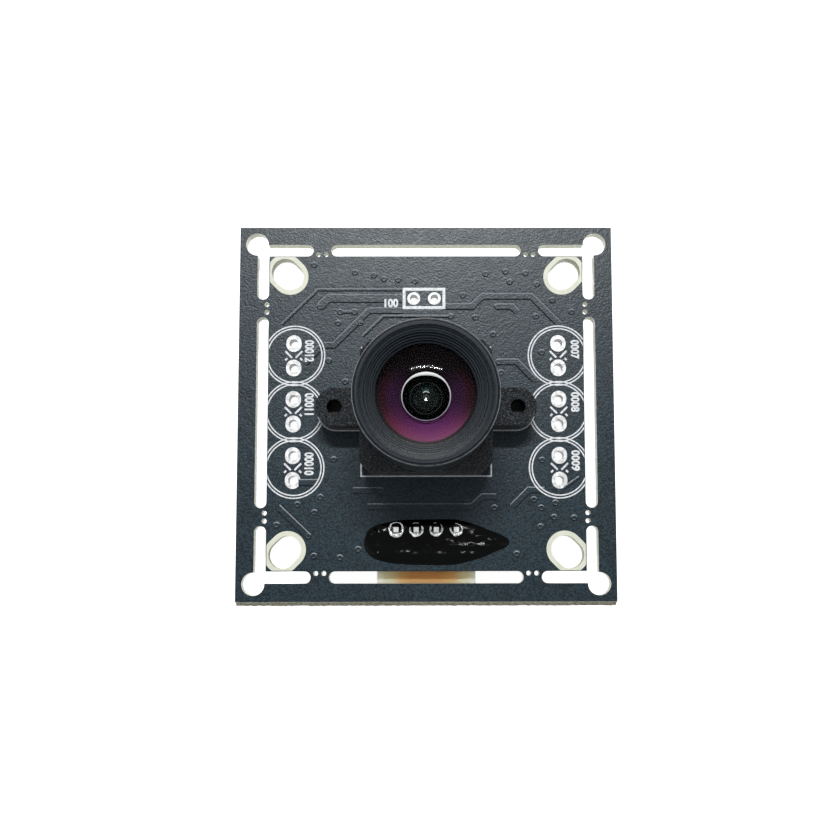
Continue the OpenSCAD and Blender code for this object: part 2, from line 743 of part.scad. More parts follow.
module lens_holder() {
    color("dimgray") translate([0, 0, board_top]) difference() {
        union() {
            linear_extrude(foot_h) foot_shape();
            linear_extrude(ear_h) obround(ear_pitch + ear_w, ear_w);
            cylinder(d = tower_d, h = tower_h, $fn = 96);
        }
        translate([0, 0, (chamber_h - cut) / 2])
            cube([chamber_size, chamber_size, chamber_h + cut], center = true);
        translate([0, 0, chamber_h + filter_t / 2]) cube([filter_size, filter_size, filter_t], center = true);
        cylinder(d = window_d, h = tower_h + cut);
        translate([0, 0, bore_z - board_top]) cylinder(d = bore_d, h = tower_h, $fn = 96);
        at_ears() translate([0, 0, -cut]) cylinder(d = screw_d, h = ear_h + 2 * cut);
    }
}

module holder_screws() {
    color("silver") at_ears() difference() {
        union() {
            translate([0, 0, -screw_head_h]) cylinder(d = screw_head_d, h = screw_head_h);
            cylinder(d = screw_d, h = screw_l);
        }
        for (turn = [0, 90]) rotate(turn) translate([0, 0, -screw_head_h])
            cube([cross_l, cross_w, 2 * cross_depth], center = true);
    }
}

module tube(d, open_d, h) {
    difference() {
        cylinder(d = d, h = h, $fn = 96);
        translate([0, 0, -cut]) cylinder(d = open_d, h = h + 2 * cut, $fn = 96);
    }
}

// turned barrel: threaded tube, wider head, a lip inside and a wide mouth
module lens_barrel() {
    color("dimgray") rotate_extrude($fn = 96) polygon([
        [inner_d / 2, barrel_z], [thread_d / 2 - rim_bevel, barrel_z], [thread_d / 2, barrel_z + rim_bevel],
        [thread_d / 2, head_z], [head_d / 2 - rim_bevel, head_z], [head_d / 2, head_z + rim_bevel],
        [head_d / 2, mouth_z - rim_bevel], [head_d / 2 - rim_bevel, mouth_z],
        [head_d / 2 - rim_bevel - rim_w, mouth_z], [ring_d / 2, ring_top], [ring_d / 2, ring_z],
        [front_d / 2, ring_z], [front_d / 2, lip_top], [lip_d / 2, lip_top], [lip_d / 2, lip_z],
        [inner_d / 2, lip_z]]);
}

// the ring's mouth goes down to the glass in small steps
module retaining_ring() {
    open_r = ring_open_d / 2;
    color("dimgray") rotate_extrude($fn = 96) polygon(concat(
        [[open_r, ring_z], [ring_d / 2, ring_z], [ring_d / 2, ring_top]],
        [for (i = [ring_steps:-1:1]) each [
            [open_r + ring_step * i, ring_z + ring_rise * i],
            [open_r + ring_step * i, ring_z + ring_rise * (i - 0.5)]]],
        [[open_r, ring_z + ring_rise * 0.5]]));
}

module front_lens() {
    color("mediumvioletred") difference() {
        intersection() {
            translate([0, 0, front_z]) cylinder(d = front_d, h = front_vertex - front_z, $fn = 96);
            translate([0, 0, front_vertex - front_r]) sphere(r = front_r, $fn = 96);
        }
        translate([0, 0, front_z - bowl_r + cap_height(bowl_r, bowl_d)]) sphere(r = bowl_r);
    }
}

module front_spacer() {
    color("black") translate([0, 0, spacer_z]) tube(front_d, bowl_d, spacer_t);
}

// a disc of glass with a dome on top that stands through a round opening
module domed_lens(d, edge, open_d, radius) {
    dome_d = open_d - 2 * seat_gap;
    dome_h = cap_height(radius, dome_d);
    cylinder(d = d, h = edge, $fn = 96);
    translate([0, 0, edge]) intersection() {
        translate([0, 0, -edge / 2]) cylinder(d = dome_d, h = dome_h + edge, $fn = 96);
        translate([0, 0, dome_h - radius]) sphere(r = radius, $fn = 96);
    }
}

module second_lens() {
    color("darkslategray") difference() {
        translate([0, 0, second_z]) domed_lens(inner_d, second_edge, lip_d, second_r);
        translate([0, 0, second_z - second_back_r + cap_height(second_back_r, second_bowl_d)])
            sphere(r = second_back_r);
    }
}

module aperture_plate() {
    color("black") translate([0, 0, stop_z]) tube(inner_d, stop_d, stop_t);
}

module spacer_tube() {
    color("black") translate([0, 0, tube_z]) tube(inner_d, inner_d - 2 * tube_wall, tube_l);
}

module rear_lens() {
    color("lightsteelblue") translate([0, 0, rear_z + rear_t]) mirror([0, 0, 1])
        domed_lens(inner_d, rear_t, rear_ring_open, rear_r);
}

module rear_ring() {
    color("dimgray") translate([0, 0, rear_ring_z]) tube(inner_d, rear_ring_open, rear_ring_t);
}

module infrared_filter() {
    color("lightblue") translate([0, 0, filter_z + filter_t / 2])
        cube([filter_size, filter_size, filter_t], center = true);
}

module sensor_package() {
    inside = package_size - 2 * package_wall;
    color("black") translate([0, 0, board_top]) difference() {
        translate([0, 0, package_h / 2]) cube([package_size, package_size, package_h], center = true);
        translate([0, 0, package_floor + package_h / 2]) cube([inside, inside, package_h], center = true);
    }
}

module sensor_chip() {
    color("darkslateblue") translate([0, 0, board_top + package_floor + die_t / 2])
        cube([die_w, die_l, die_t], center = true);
}

module sensor_cover() {
    color("lightblue") translate([0, 0, cover_z + cover_t / 2])
        cube([cover_size, cover_size, cover_t], center = true);
}

module at_processor_lands() {
    for (turn = [0:90:270], i = [0:processor_lands - 1]) translate([0, processor_y, 0]) rotate(turn)
        translate([processor_size / 2, (i - (processor_lands - 1) / 2) * processor_land_pitch, 0]) children();
}

module video_processor() {
    color("black") difference() {
        translate([0, processor_y, -processor_h / 2])
            cube([processor_size, processor_size, processor_h], center = true);
        processor_leads();
    }
}

module processor_leads() {
    color("silver") at_processor_lands() translate([land_out - land_l, -land_w / 2, -land_t])
        cube([land_l, land_w, land_t]);
}

// a bent lead: out of the body at half its height, down its leg and along its foot
module bent_lead(body_h, reach, width) {
    half = body_h / 2;
    rotate([90, 0, 0]) linear_extrude(width, center = true) polygon([
        [0, half - lead_t / 2], [reach / 2, half - lead_t / 2], [reach / 2, 0], [reach, 0], [reach, lead_t],
        [reach / 2 + lead_t, lead_t], [reach / 2 + lead_t, half + lead_t / 2], [0, half + lead_t / 2]]);
}

module flash_memory() {
    color("black") translate([flash_spot[0], flash_spot[1], -flash_h / 2])
        cube([flash_w, flash_l, flash_h - lead_t], center = true);
}

module flash_leads() {
    color("silver") translate([flash_spot[0], flash_spot[1], 0]) mirror([0, 0, 1])
        for (side = sides, i = [0:flash_leads_per_side - 1])
            translate([(i - (flash_leads_per_side - 1) / 2) * flash_lead_pitch, side * flash_l / 2, 0])
                rotate(side * 90) bent_lead(flash_h, flash_foot, flash_lead_w);
}

module voltage_regulators() {
    color("black") for (spot = regulator_spots) translate([spot[0], spot[1], -regulator_h / 2])
        cube([regulator_w, regulator_l, regulator_h - lead_t], center = true);
}

module regulator_leads() {
    color("silver") mirror([0, 0, 1]) for (spot = regulator_spots) translate([spot[0], spot[1], 0])
        for (side = sides, i = [-1:1]) if (side > 0 || i != 0)
            translate([i * regulator_lead_pitch, side * regulator_l / 2, 0])
                rotate(side * 90) bent_lead(regulator_h, regulator_foot, regulator_lead_w);
}

module crystal() {
    base_h = crystal_h / 3;
    lid_in = 0.15;
    color("silver") translate([crystal_spot[0], crystal_spot[1], 0]) {
        translate([0, 0, -base_h / 2]) cube([crystal_l, crystal_w, base_h], center = true);
        translate([0, 0, -crystal_h / 2])
            cube([crystal_l - 2 * lid_in, crystal_w - 2 * lid_in, crystal_h], center = true);
    }
}

module at_chips(spots) {
    for (spot = spots) translate([spot[0], spot[1], 0]) rotate(spot[2]) children();
}

module chip_bodies(spots, h) {
    at_chips(spots) translate([0, 0, -h / 2]) cube([chip_l - 2 * chip_end, chip_w, h], center = true);
}

module chip_ends(spots, h) {
    at_chips(spots) for (s = sides) translate([s * (chip_l - chip_end) / 2, 0, -h / 2])
        cube([chip_end, chip_w, h], center = true);
}

module capacitors() { color("tan") chip_bodies(capacitor_spots, capacitor_h); }
module capacitor_ends() { color("silver") chip_ends(capacitor_spots, capacitor_h); }
module resistors() { color("black") chip_bodies(resistor_spots, resistor_h); }
module resistor_ends() { color("silver") chip_ends(resistor_spots, resistor_h); }

circuit_board();
mounting_rings();
lamp_pads();
cell_pads();
connector_pads();
front_tracks();
board_markings();
connector_housing();
connector_pins();
solder_joints();
sealing_resin();
lens_holder();
holder_screws();
lens_barrel();
retaining_ring();
front_lens();
front_spacer();
second_lens();
aperture_plate();
spacer_tube();
rear_lens();
rear_ring();
infrared_filter();
sensor_package();
sensor_chip();
sensor_cover();
video_processor();
processor_leads();
flash_memory();
flash_leads();
voltage_regulators();
regulator_leads();
crystal();
capacitors();
capacitor_ends();
resistors();
resistor_ends();
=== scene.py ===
import math

import bmesh
import bpy
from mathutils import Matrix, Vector, noise


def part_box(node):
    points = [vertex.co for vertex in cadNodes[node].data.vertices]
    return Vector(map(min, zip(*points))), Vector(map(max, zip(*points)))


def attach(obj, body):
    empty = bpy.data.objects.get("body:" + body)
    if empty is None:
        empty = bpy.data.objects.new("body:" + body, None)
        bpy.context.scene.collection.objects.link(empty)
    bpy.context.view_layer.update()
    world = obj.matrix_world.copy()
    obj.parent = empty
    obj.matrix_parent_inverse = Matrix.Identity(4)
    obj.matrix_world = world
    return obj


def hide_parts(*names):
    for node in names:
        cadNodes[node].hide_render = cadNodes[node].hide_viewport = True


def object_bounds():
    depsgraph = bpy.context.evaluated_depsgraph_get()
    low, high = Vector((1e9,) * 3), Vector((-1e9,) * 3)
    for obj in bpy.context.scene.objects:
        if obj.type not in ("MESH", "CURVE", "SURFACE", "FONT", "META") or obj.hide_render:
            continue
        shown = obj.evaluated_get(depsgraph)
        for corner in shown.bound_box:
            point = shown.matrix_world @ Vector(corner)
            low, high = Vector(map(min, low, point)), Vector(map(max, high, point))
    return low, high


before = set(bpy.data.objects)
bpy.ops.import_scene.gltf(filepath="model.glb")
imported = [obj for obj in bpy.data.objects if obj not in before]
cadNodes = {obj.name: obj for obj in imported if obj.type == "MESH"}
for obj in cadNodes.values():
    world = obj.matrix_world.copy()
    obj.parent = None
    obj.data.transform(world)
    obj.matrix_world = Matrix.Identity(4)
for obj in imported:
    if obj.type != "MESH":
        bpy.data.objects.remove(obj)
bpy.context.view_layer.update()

mm = 0.001              # all sizes below are in millimetres, and become metres by this
print("frame loaded:", len(cadNodes), "nodes")


def boxOf(node):
    low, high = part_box(node)
    return [v / mm for v in low], [v / mm for v in high]


boardLow, boardHigh = boxOf("circuit_board")
boardTop = boardHigh[2]
barrelLow, barrelHigh = boxOf("lens_barrel")
ringLow, ringHigh = boxOf("retaining_ring")
glassLow, glassHigh = boxOf("front_lens")
spacerLow, spacerHigh = boxOf("front_spacer")
secondHigh = boxOf("second_lens")[1]
solderHigh = boxOf("solder_joints")[1]
resinLow, resinHigh = boxOf("sealing_resin")
mouthZ = barrelHigh[2]
headRadius = barrelHigh[0]


def makePiece(name, verts, faces, finish, body, stands=(), smooth=True):
    mesh = bpy.data.meshes.new(name)
    mesh.from_pydata([[c * mm for c in v] for v in verts], [], faces)
    mesh.validate()
    piece = bpy.data.objects.new(name, mesh)
    bpy.context.scene.collection.objects.link(piece)
    shell = bmesh.new()
    shell.from_mesh(mesh)
    bmesh.ops.remove_doubles(shell, verts=shell.verts, dist=1e-7)
    bmesh.ops.recalc_face_normals(shell, faces=shell.faces)
    shell.to_mesh(mesh)
    shell.free()
    mesh.materials.append(finish)
    for face in mesh.polygons:
        face.use_smooth = smooth
    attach(piece, body)
    if stands:
        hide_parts(*stands)
    return piece


def ringFaces(rows, turns, closeProfile):
    faces = []
    count = rows if closeProfile else rows - 1
    for i in range(count):
        for j in range(turns):
            a, b = i * turns + j, i * turns + (j + 1) % turns
            c = ((i + 1) % rows) * turns + (j + 1) % turns
            d = ((i + 1) % rows) * turns + j
            faces.append((a, b, c, d))
    return faces


def revolve(profile, turns=128, closeProfile=True, centre=(0, 0)):
    # profile is a list of (radius, height)
    verts = []
    for radius, height in profile:
        for j in range(turns):
            angle = 2 * math.pi * j / turns
            verts.append((centre[0] + radius * math.cos(angle), centre[1] + radius * math.sin(angle), height))
    return verts, ringFaces(len(profile), turns, closeProfile)


def arcPoints(centre, radius, start, end, steps):
    # points on an arc, angles in degrees
    points = []
    for i in range(steps + 1):
        angle = math.radians(start + (end - start) * i / steps)
        points.append((centre[0] + radius * math.cos(angle), centre[1] + radius * math.sin(angle)))
    return points


softEdgeSet = {"segments": 2, "sharperThan": 30}


def softEdges(piece, width):
    edge = piece.modifiers.new("soft edges", "BEVEL")
    edge.width = width * mm
    edge.segments = softEdgeSet["segments"]
    edge.limit_method = "ANGLE"
    edge.angle_limit = math.radians(softEdgeSet["sharperThan"])
    edge.harden_normals = False


def smoothByAngle(piece, degrees):
    # keeps edges sharper than the angle crisp
    limit = math.cos(math.radians(degrees))
    shell = bmesh.new()
    shell.from_mesh(piece.data)
    for edge in shell.edges:
        if len(edge.link_faces) == 2:
            edge.smooth = edge.link_faces[0].normal.dot(edge.link_faces[1].normal) > limit
    shell.to_mesh(piece.data)
    shell.free()


class Finish:
    # a new material with its shader and a shared set of object coordinates
    def __init__(self, name, colour, roughness, metallic=0.0, specular=0.5):
        self.material = bpy.data.materials.new(name)
        self.material.use_nodes = True
        self.tree = self.material.node_tree
        self.tree.nodes.clear()
        self.output = self.add("ShaderNodeOutputMaterial")
        self.shader = self.add("ShaderNodeBsdfPrincipled")
        self.shader.inputs["Base Color"].default_value = (*colour, 1)
        self.shader.inputs["Roughness"].default_value = roughness
        self.shader.inputs["Metallic"].default_value = metallic
        self.shader.inputs["Specular IOR Level"].default_value = specular
        self.link(self.shader.outputs[0], self.output.inputs["Surface"])
        self.place = self.add("ShaderNodeTexCoord").outputs["Object"]

    def add(self, kind):
        return self.tree.nodes.new(kind)

    def link(self, a, b):
        self.tree.links.new(a, b)

    def grain(self, size, detail=3.0, roughness=0.55, place=None):
        # size is the grain's width in millimetres
        node = self.add("ShaderNodeTexNoise")
        node.inputs["Scale"].default_value = 1 / (size * mm)
        node.inputs["Detail"].default_value = detail
        node.inputs["Roughness"].default_value = roughness
        self.link(place or self.place, node.inputs["Vector"])
        return node.outputs["Fac"]

    def cells(self, size):
        node = self.add("ShaderNodeTexVoronoi")
        node.inputs["Scale"].default_value = 1 / (size * mm)
        self.link(self.place, node.inputs["Vector"])
        return node.outputs["Distance"]

    def ramp(self, value, stops):
        node = self.add("ShaderNodeValToRGB")
        self.link(value, node.inputs["Fac"])
        band = node.color_ramp
        while len(band.elements) < len(stops):
            band.elements.new(0.5)
        for element, (position, colour) in zip(band.elements, stops):
            element.position = position
            element.color = (*colour, 1)
        return node.outputs["Color"]

    def span(self, value, low, high, newLow=0.0, newHigh=1.0):
        node = self.add("ShaderNodeMapRange")
        node.interpolation_type = "SMOOTHSTEP"
        node.inputs["From Min"].default_value = low
        node.inputs["From Max"].default_value = high
        node.inputs["To Min"].default_value = newLow
        node.inputs["To Max"].default_value = newHigh
        self.link(value, node.inputs["Value"])
        return node.outputs["Result"]

    def math(self, kind, a, b=None):
        node = self.add("ShaderNodeMath")
        node.operation = kind
        for socket, value in zip(node.inputs, (a, b)):
            if value is None:
                continue
            if isinstance(value, (int, float)):
                socket.default_value = value
            else:
                self.link(value, socket)
        return node.outputs[0]

    def mix(self, amount, a, b):
        node = self.add("ShaderNodeMix")
        node.data_type = "RGBA"
        self.link(amount, node.inputs["Factor"])
        for socket, value in ((node.inputs[6], a), (node.inputs[7], b)):
            if isinstance(value, tuple):
                socket.default_value = (*value, 1)
            else:
                self.link(value, socket)
        return node.outputs[2]

    def axes(self):
        node = self.add("ShaderNodeSeparateXYZ")
        self.link(self.place, node.inputs[0])
        return node.outputs["X"], node.outputs["Y"], node.outputs["Z"]

    def radius(self):
        # distance from the lens axis, in metres
        x, y, z = self.axes()
        return self.math("SQRT", self.math("ADD", self.math("MULTIPLY", x, x), self.math("MULTIPLY", y, y)))

    def upward(self):
        # 1 on faces that look along the board's own axis, 0 on its edges
        node = self.add("ShaderNodeSeparateXYZ")
        geometry = self.add("ShaderNodeNewGeometry")
        self.link(geometry.outputs["True Normal"], node.inputs[0])
        return self.math("ABSOLUTE", node.outputs["Z"])

    def bump(self, height, strength, depth):
        # depth in millimetres
        node = self.add("ShaderNodeBump")
        node.inputs["Strength"].default_value = strength
        node.inputs["Distance"].default_value = depth * mm
        self.link(height, node.inputs["Height"])
        self.link(node.outputs[0], self.shader.inputs["Normal"])

    def colour(self, socket):
        self.link(socket, self.shader.inputs["Base Color"])

    def rough(self, socket):
        self.link(socket, self.shader.inputs["Roughness"])

    # a grain is (width, detail, noise level that gives the first value, level that gives the second)
    def patches(self, grain, first, second):
        size, detail, low, high = grain
        return self.mix(self.span(self.grain(size, detail), low, high), first, second)

    def sheen(self, grain, first, second):
        size, detail, low, high = grain
        self.rough(self.span(self.grain(size, detail), low, high, first, second))

    def dents(self, size, detail, strength, depth):
        self.bump(self.grain(size, detail), strength, depth)


maskSet = {
    "specular": 0.2,
    "specks": (0.17, 3, 0.36, 0.64),
    "darker": 0.45,
    "lighter": 2.0,
    "weave": 0.3,
    "weaveShare": 0.6,
    "reliefStrength": 0.6,
    "relief": 0.035,
    "lean": (0.04, 0.2),                        # lean of an edge where its colour starts and ends to change
    "leanShare": 0.9,
    # painted highlight and painted shade for edges that lean towards and away from the lamps
    "litEdgeColour": (0.24, 0.27, 0.30),
    "shadedEdgeColour": (0.001, 0.002, 0.003),
    "cloth": (0.25, 3, 0.4, 0.6),
    "clothDark": (0.80, 0.82, 0.68),
    "clothLight": (0.90, 0.91, 0.78),
    "sheen": (1.3, 4, 0.3, 0.7),
    "smoother": 0.02,
    "duller": 0.03,
}


def solderMaskFinish(name, dark, light, roughness, relief=False):
    # glossy blue-black mask on the faces, cream glass cloth on the cut walls
    s = maskSet
    f = Finish(name, dark, roughness, specular=s["specular"])
    darker, lighter = tuple(c * s["darker"] for c in dark), tuple(c * s["lighter"] for c in light)
    mask = f.patches(s["specks"], darker, lighter)
    weave = f.math("MULTIPLY", f.grain(s["weave"], 2), s["weaveShare"])
    f.bump(f.math("ADD", weave, f.grain(s["specks"][0], 2)), s["reliefStrength"], s["relief"])
    if relief:
        # painted light and shade: the copper's upper edges, which lean towards the key lamps, are painted
        # lighter, and the lower ones, which lean away, darker; a little of it is the mask thinning over the
        # copper's edges
        normal = f.add("ShaderNodeSeparateXYZ")
        f.link(f.add("ShaderNodeNewGeometry").outputs["Normal"], normal.inputs[0])
        low, high = s["lean"]
        thin = f.span(normal.outputs["Y"], low, high, 0.0, s["leanShare"])
        thick = f.span(normal.outputs["Y"], -low, -high, 0.0, s["leanShare"])
        f.colour(f.mix(thick, f.mix(thin, mask, s["litEdgeColour"]), s["shadedEdgeColour"]))
    else:
        laminate = f.patches(s["cloth"], s["clothDark"], s["clothLight"])
        f.colour(f.mix(f.span(f.upward(), 0.4, 0.6), laminate, mask))
    f.sheen(s["sheen"], roughness - s["smoother"], roughness + s["duller"])
    return f.material


def plainFinish(name, s):
    # patches of two colours, a roughness that drifts, and small dents
    f = Finish(name, s["colour"], s["roughness"], s["metallic"], s["specular"])
    if "patches" in s:
        f.colour(f.patches(s["patches"], *s["tones"]))
    if "sheen" in s:
        f.sheen(s["sheen"], s["smooth"], s["dull"])
    f.dents(*s["dents"])
    return f.material


bareTin = {
    "colour": (0.8, 0.8, 0.68),
    "roughness": 0.5,
    "metallic": 0.0,
    "specular": 0.3,
    "patches": (0.7, 4, 0.35, 0.7),
    "tones": ((0.79, 0.81, 0.68), (0.72, 0.74, 0.60)),
    "sheen": (0.3, 3, 0.3, 0.7),
    "smooth": 0.44,
    "dull": 0.6,
    "dents": (0.5, 3, 0.2, 0.03),
}
padTin = {
    "colour": (0.66, 0.67, 0.67),
    "roughness": 0.42,
    "metallic": 0.1,
    "specular": 0.4,
    "patches": (0.35, 4, 0.38, 0.64),
    "tones": ((0.84, 0.85, 0.86), (0.55, 0.56, 0.56)),
    "dents": (0.3, 3, 0.6, 0.06),
}
whiteInk = {
    "colour": (0.8, 0.83, 0.86),
    "roughness": 0.5,
    "metallic": 0.0,
    "specular": 0.5,
    "patches": (0.16, 4, 0.38, 0.62),
    "tones": ((0.90, 0.93, 0.95), (0.60, 0.63, 0.66)),
    "dents": (0.1, 2, 0.3, 0.02),
}
brightSolder = {
    "colour": (0.80, 0.81, 0.82),
    "roughness": 0.2,
    "metallic": 1.0,
    "specular": 0.5,
    "patches": (0.3, 3, 0.4, 0.62),
    "tones": ((0.90, 0.91, 0.92), (0.40, 0.41, 0.42)),
    "sheen": (0.3, 4, 0.35, 0.65),
    "smooth": 0.14,
    "dull": 0.36,
    "dents": (0.28, 4, 0.7, 0.08),
}
blackResin = {
    "colour": (0.001, 0.0013, 0.0015),
    "roughness": 0.12,
    "metallic": 0.0,
    "specular": 0.07,
    "sheen": (1.0, 3, 0.4, 0.7),
    "smooth": 0.12,
    "dull": 0.24,
    "dents": (0.55, 4, 0.35, 0.06),
}
tornLaminate = {
    "colour": (0.5, 0.48, 0.36),
    "roughness": 0.7,
    "metallic": 0.0,
    "specular": 0.2,
    "patches": (0.3, 4, 0.35, 0.65),
    "tones": ((0.30, 0.285, 0.20), (0.62, 0.60, 0.47)),
    "dents": (0.12, 4, 0.9, 0.08),
}


nylonSet = {
    "colour": (0.5, 0.33, 0.16),
    "wander": 0.6,
    "shadedTo": 1.2,             # from the middle to where the painted shade starts to fade
    "paleFrom": 5.6,
    "tones": [(0.0, (0.58, 0.30, 0.105)), (0.35, (0.66, 0.40, 0.18)), (0.7, (0.74, 0.66, 0.46)),
              (1.0, (0.82, 0.79, 0.66))],
    "dents": (0.15, 3, 0.25, 0.02),
    "deepShare": 0.85,
    "deep": (2.6, 2.0, 1.4),    # how far red, green and blue light travel inside
}


def nylonFinish():
    # painted shade: warm and dark along its middle, where it lies in shade under the board, paler at both
    # ends
    s = nylonSet
    f = Finish("tan nylon", s["colour"], 0.42, specular=0.3)
    x, y, z = f.axes()
    # painted shade, darkest in the middle and fading to pale nylon at the ends
    fromMiddle = f.math("ADD", f.math("ABSOLUTE", x), f.math("MULTIPLY", f.grain(1.2, 3), s["wander"] * mm))
    f.colour(f.ramp(f.span(fromMiddle, s["shadedTo"] * mm, s["paleFrom"] * mm), s["tones"]))
    f.dents(*s["dents"])
    f.shader.inputs["Subsurface Weight"].default_value = s["deepShare"]
    f.shader.inputs["Subsurface Scale"].default_value = 1.0
    f.shader.inputs["Subsurface Radius"].default_value = [c * mm for c in s["deep"]]
    return f.material


platedSet = {"wearAndHighlight": 0.72, "smoother": 0.75, "duller": 1.4, "dents": 0.3}


def platedFinish(name, colour, roughness, grainSize, depth=0.02):
    s = platedSet
    f = Finish(name, colour, roughness, metallic=1.0)
    f.colour(f.patches((grainSize * 2, 4, 0.35, 0.7), colour, tuple(c * s["wearAndHighlight"] for c in colour)))
    f.sheen((grainSize, 3, 0.3, 0.7), roughness * s["smoother"], roughness * s["duller"])
    f.dents(grainSize, 3, s["dents"], depth)
    return f.material


mouldingSet = {
    "colour": (0.005, 0.006, 0.007),
    "patches": (0.18, 3, 0.40, 0.62),
    "dark": (0.0015, 0.0022, 0.003),
    "light": (0.032, 0.038, 0.046),
    # painted glints: small light flecks over the dark moulding
    "glintFacets": (0.11, 2, 0.56, 0.68),
    "glintColour": (0.15, 0.165, 0.18),
    "sheen": (0.1, 2, 0.35, 0.7),
    "smooth": 0.26,
    "dull": 0.46,
    "pits": 0.22,
    "pitShare": 0.6,
    "pitDepth": 0.3,
}


def mouldingFinish():
    # spark-eroded texture: fine pits, with small bright facets painted in as glints
    s = mouldingSet
    f = Finish("black moulding", s["colour"], 0.36, specular=0.3)
    f.colour(f.patches(s["glintFacets"], f.patches(s["patches"], s["dark"], s["light"]), s["glintColour"]))
    f.sheen(s["sheen"], s["smooth"], s["dull"])
    pits = f.math("MULTIPLY", f.cells(s["pits"]), s["pitShare"])
    f.bump(f.math("ADD", f.grain(0.16, 4, 0.65), pits), 1.0, s["pitDepth"])
    return f.material


anodisedSet = {
    "colour": (0.006, 0.007, 0.008),
    "specular": 0.085,
    "turning": 0.09,                            # width of the turning lines
    "lines": (0.44, 0.58),
    "lineShare": 0.8,
    "lineColour": (0.030, 0.040, 0.050),
    "patches": (0.22, 4, 0.4, 0.66),
    "dark": (0.0006, 0.0010, 0.0014),
    "light": (0.009, 0.012, 0.015),
    "highlightBack": 0.03,
    "highlightWide": 0.07,
    "highlightDeep": (0.12, 0.04),                   # below the mouth, where the painted highlight starts and is full
    "highlightPatches": (0.3, 0.5, 0.35, 1.0),
    "highlightColour": (0.24, 0.26, 0.27),
    "smooth": 0.25,
    "dull": 0.37,
    "pitShare": 0.9,
    "relief": (0.6, 0.03),
}


def anodisedFinish():
    # black anodised metal with fine turning lines round the axis, and a patchy painted highlight along the
    # head's outer edge
    s = anodisedSet
    f = Finish("black anodised", s["colour"], 0.3, specular=s["specular"])
    x, y, z = f.axes()
    lines = f.add("ShaderNodeCombineXYZ")
    far = f.radius()
    f.link(far, lines.inputs["X"])
    f.link(z, lines.inputs["Z"])
    turning = f.grain(s["turning"], 2, 0.6, lines.outputs[0])
    dull = f.patches(s["patches"], s["dark"], s["light"])
    ringed = f.mix(f.math("MULTIPLY", f.span(turning, *s["lines"]), s["lineShare"]), dull, s["lineColour"])
    # painted highlight: a light, patchy band along the head's outer edge, below the mouth
    edge = headRadius - s["highlightBack"]
    wearAndHighlight = f.span(far, (edge - s["highlightWide"]) * mm, edge * mm)
    low, full = s["highlightDeep"]
    high = f.span(z, (mouthZ - low) * mm, (mouthZ - full) * mm)
    patchy = f.span(f.grain(0.8, 3), *s["highlightPatches"])
    amount = f.math("MULTIPLY", f.math("MULTIPLY", wearAndHighlight, high), patchy)
    f.colour(f.mix(amount, ringed, s["highlightColour"]))
    f.rough(f.span(turning, 0.3, 0.7, s["smooth"], s["dull"]))
    f.bump(f.math("ADD", turning, f.math("MULTIPLY", f.grain(0.16, 3), s["pitShare"])), *s["relief"])
    return f.material


coatingSet = {
    "colour": (0.1, 0.02, 0.08),
    "inner": 2.5,
    "outer": 4.7,
    "sides": [(0.0, (0.027, 0.0075, 0.030)), (0.5, (0.028, 0.0065, 0.024)), (0.66, (0.024, 0.0035, 0.010)),
              (1.0, (0.016, 0.002, 0.005))],
    "warm": [(0.0, (0.10, 0.014, 0.085)), (0.6, (0.16, 0.018, 0.065)), (1.0, (0.13, 0.018, 0.040))],
    "cool": [(0.0, (0.13, 0.020, 0.125)), (0.6, (0.19, 0.030, 0.130)), (1.0, (0.22, 0.050, 0.125))],
    "warmLeft": (-3.2, 1.2),                    # from here to here the left side's warm tone gives way
    # painted light and shade by height on the ring: lit below, shaded above
    "litBelow": (1.2, -3.0),
    "shadedAbove": (-1.0, 2.2),
    "drift": 0.35,
    "top": (0.0022, 0.0008, 0.0018),
    "borderUp": 0.2,
    "border": (4.28, 4.50),
    "borderColour": (0.004, 0.0012, 0.002),
    "dents": (0.25, 3, 0.15, 0.02),
}


def coatingFinish():
    # violet interference coating: purple near the hollow, wine red outside; painted light makes it paler and
    # pinker on the lower side, and painted shade darkens its sides and leaves it near black above
    s = coatingSet
    f = Finish("violet coating", s["colour"], 0.35, specular=0.05)

    def across(value, ends, low=0.0, high=1.0):
        return f.span(value, ends[0] * mm, ends[1] * mm, low, high)

    x, y, z = f.axes()
    far = across(f.radius(), (s["inner"], s["outer"]))
    sides, warm, cool = (f.ramp(far, s[tone]) for tone in ("sides", "warm", "cool"))
    wandering = f.math("ADD", x, f.math("MULTIPLY", f.grain(1.2, 2), 1.0 * mm))
    pink = f.mix(across(wandering, s["warmLeft"]), warm, cool)
    drift = f.math("MULTIPLY", f.math("ABSOLUTE", x), s["drift"])
    level = f.math("ADD", f.math("ADD", y, drift), f.math("MULTIPLY", f.grain(1.5, 2), 0.6 * mm))
    # painted light on the lower side, painted shade on the sides, and a near-black painted shade over the top
    lit = f.mix(across(level, s["litBelow"]), sides, pink)
    film = f.mix(across(f.math("SUBTRACT", y, drift), s["shadedAbove"]), lit, s["top"])
    shifted = f.math("SUBTRACT", y, s["borderUp"] * mm)
    border = f.math("SQRT", f.math("ADD", f.math("MULTIPLY", x, x), f.math("MULTIPLY", shifted, shifted)))
    f.colour(f.mix(across(border, s["border"]), film, s["borderColour"]))
    f.dents(*s["dents"])
    return f.material


glassSet = {
    "outside": (0.028, 0.029, 0.029),
    "outsideShare": 0.1,
    "outsideRough": 0.03,
    "hollow": (0.012, 0.030, 0.025),
    "hollowShare": 0.1,
    "hollowRough": 0.2,
    "hollowEnds": (2.25, 2.15),
}


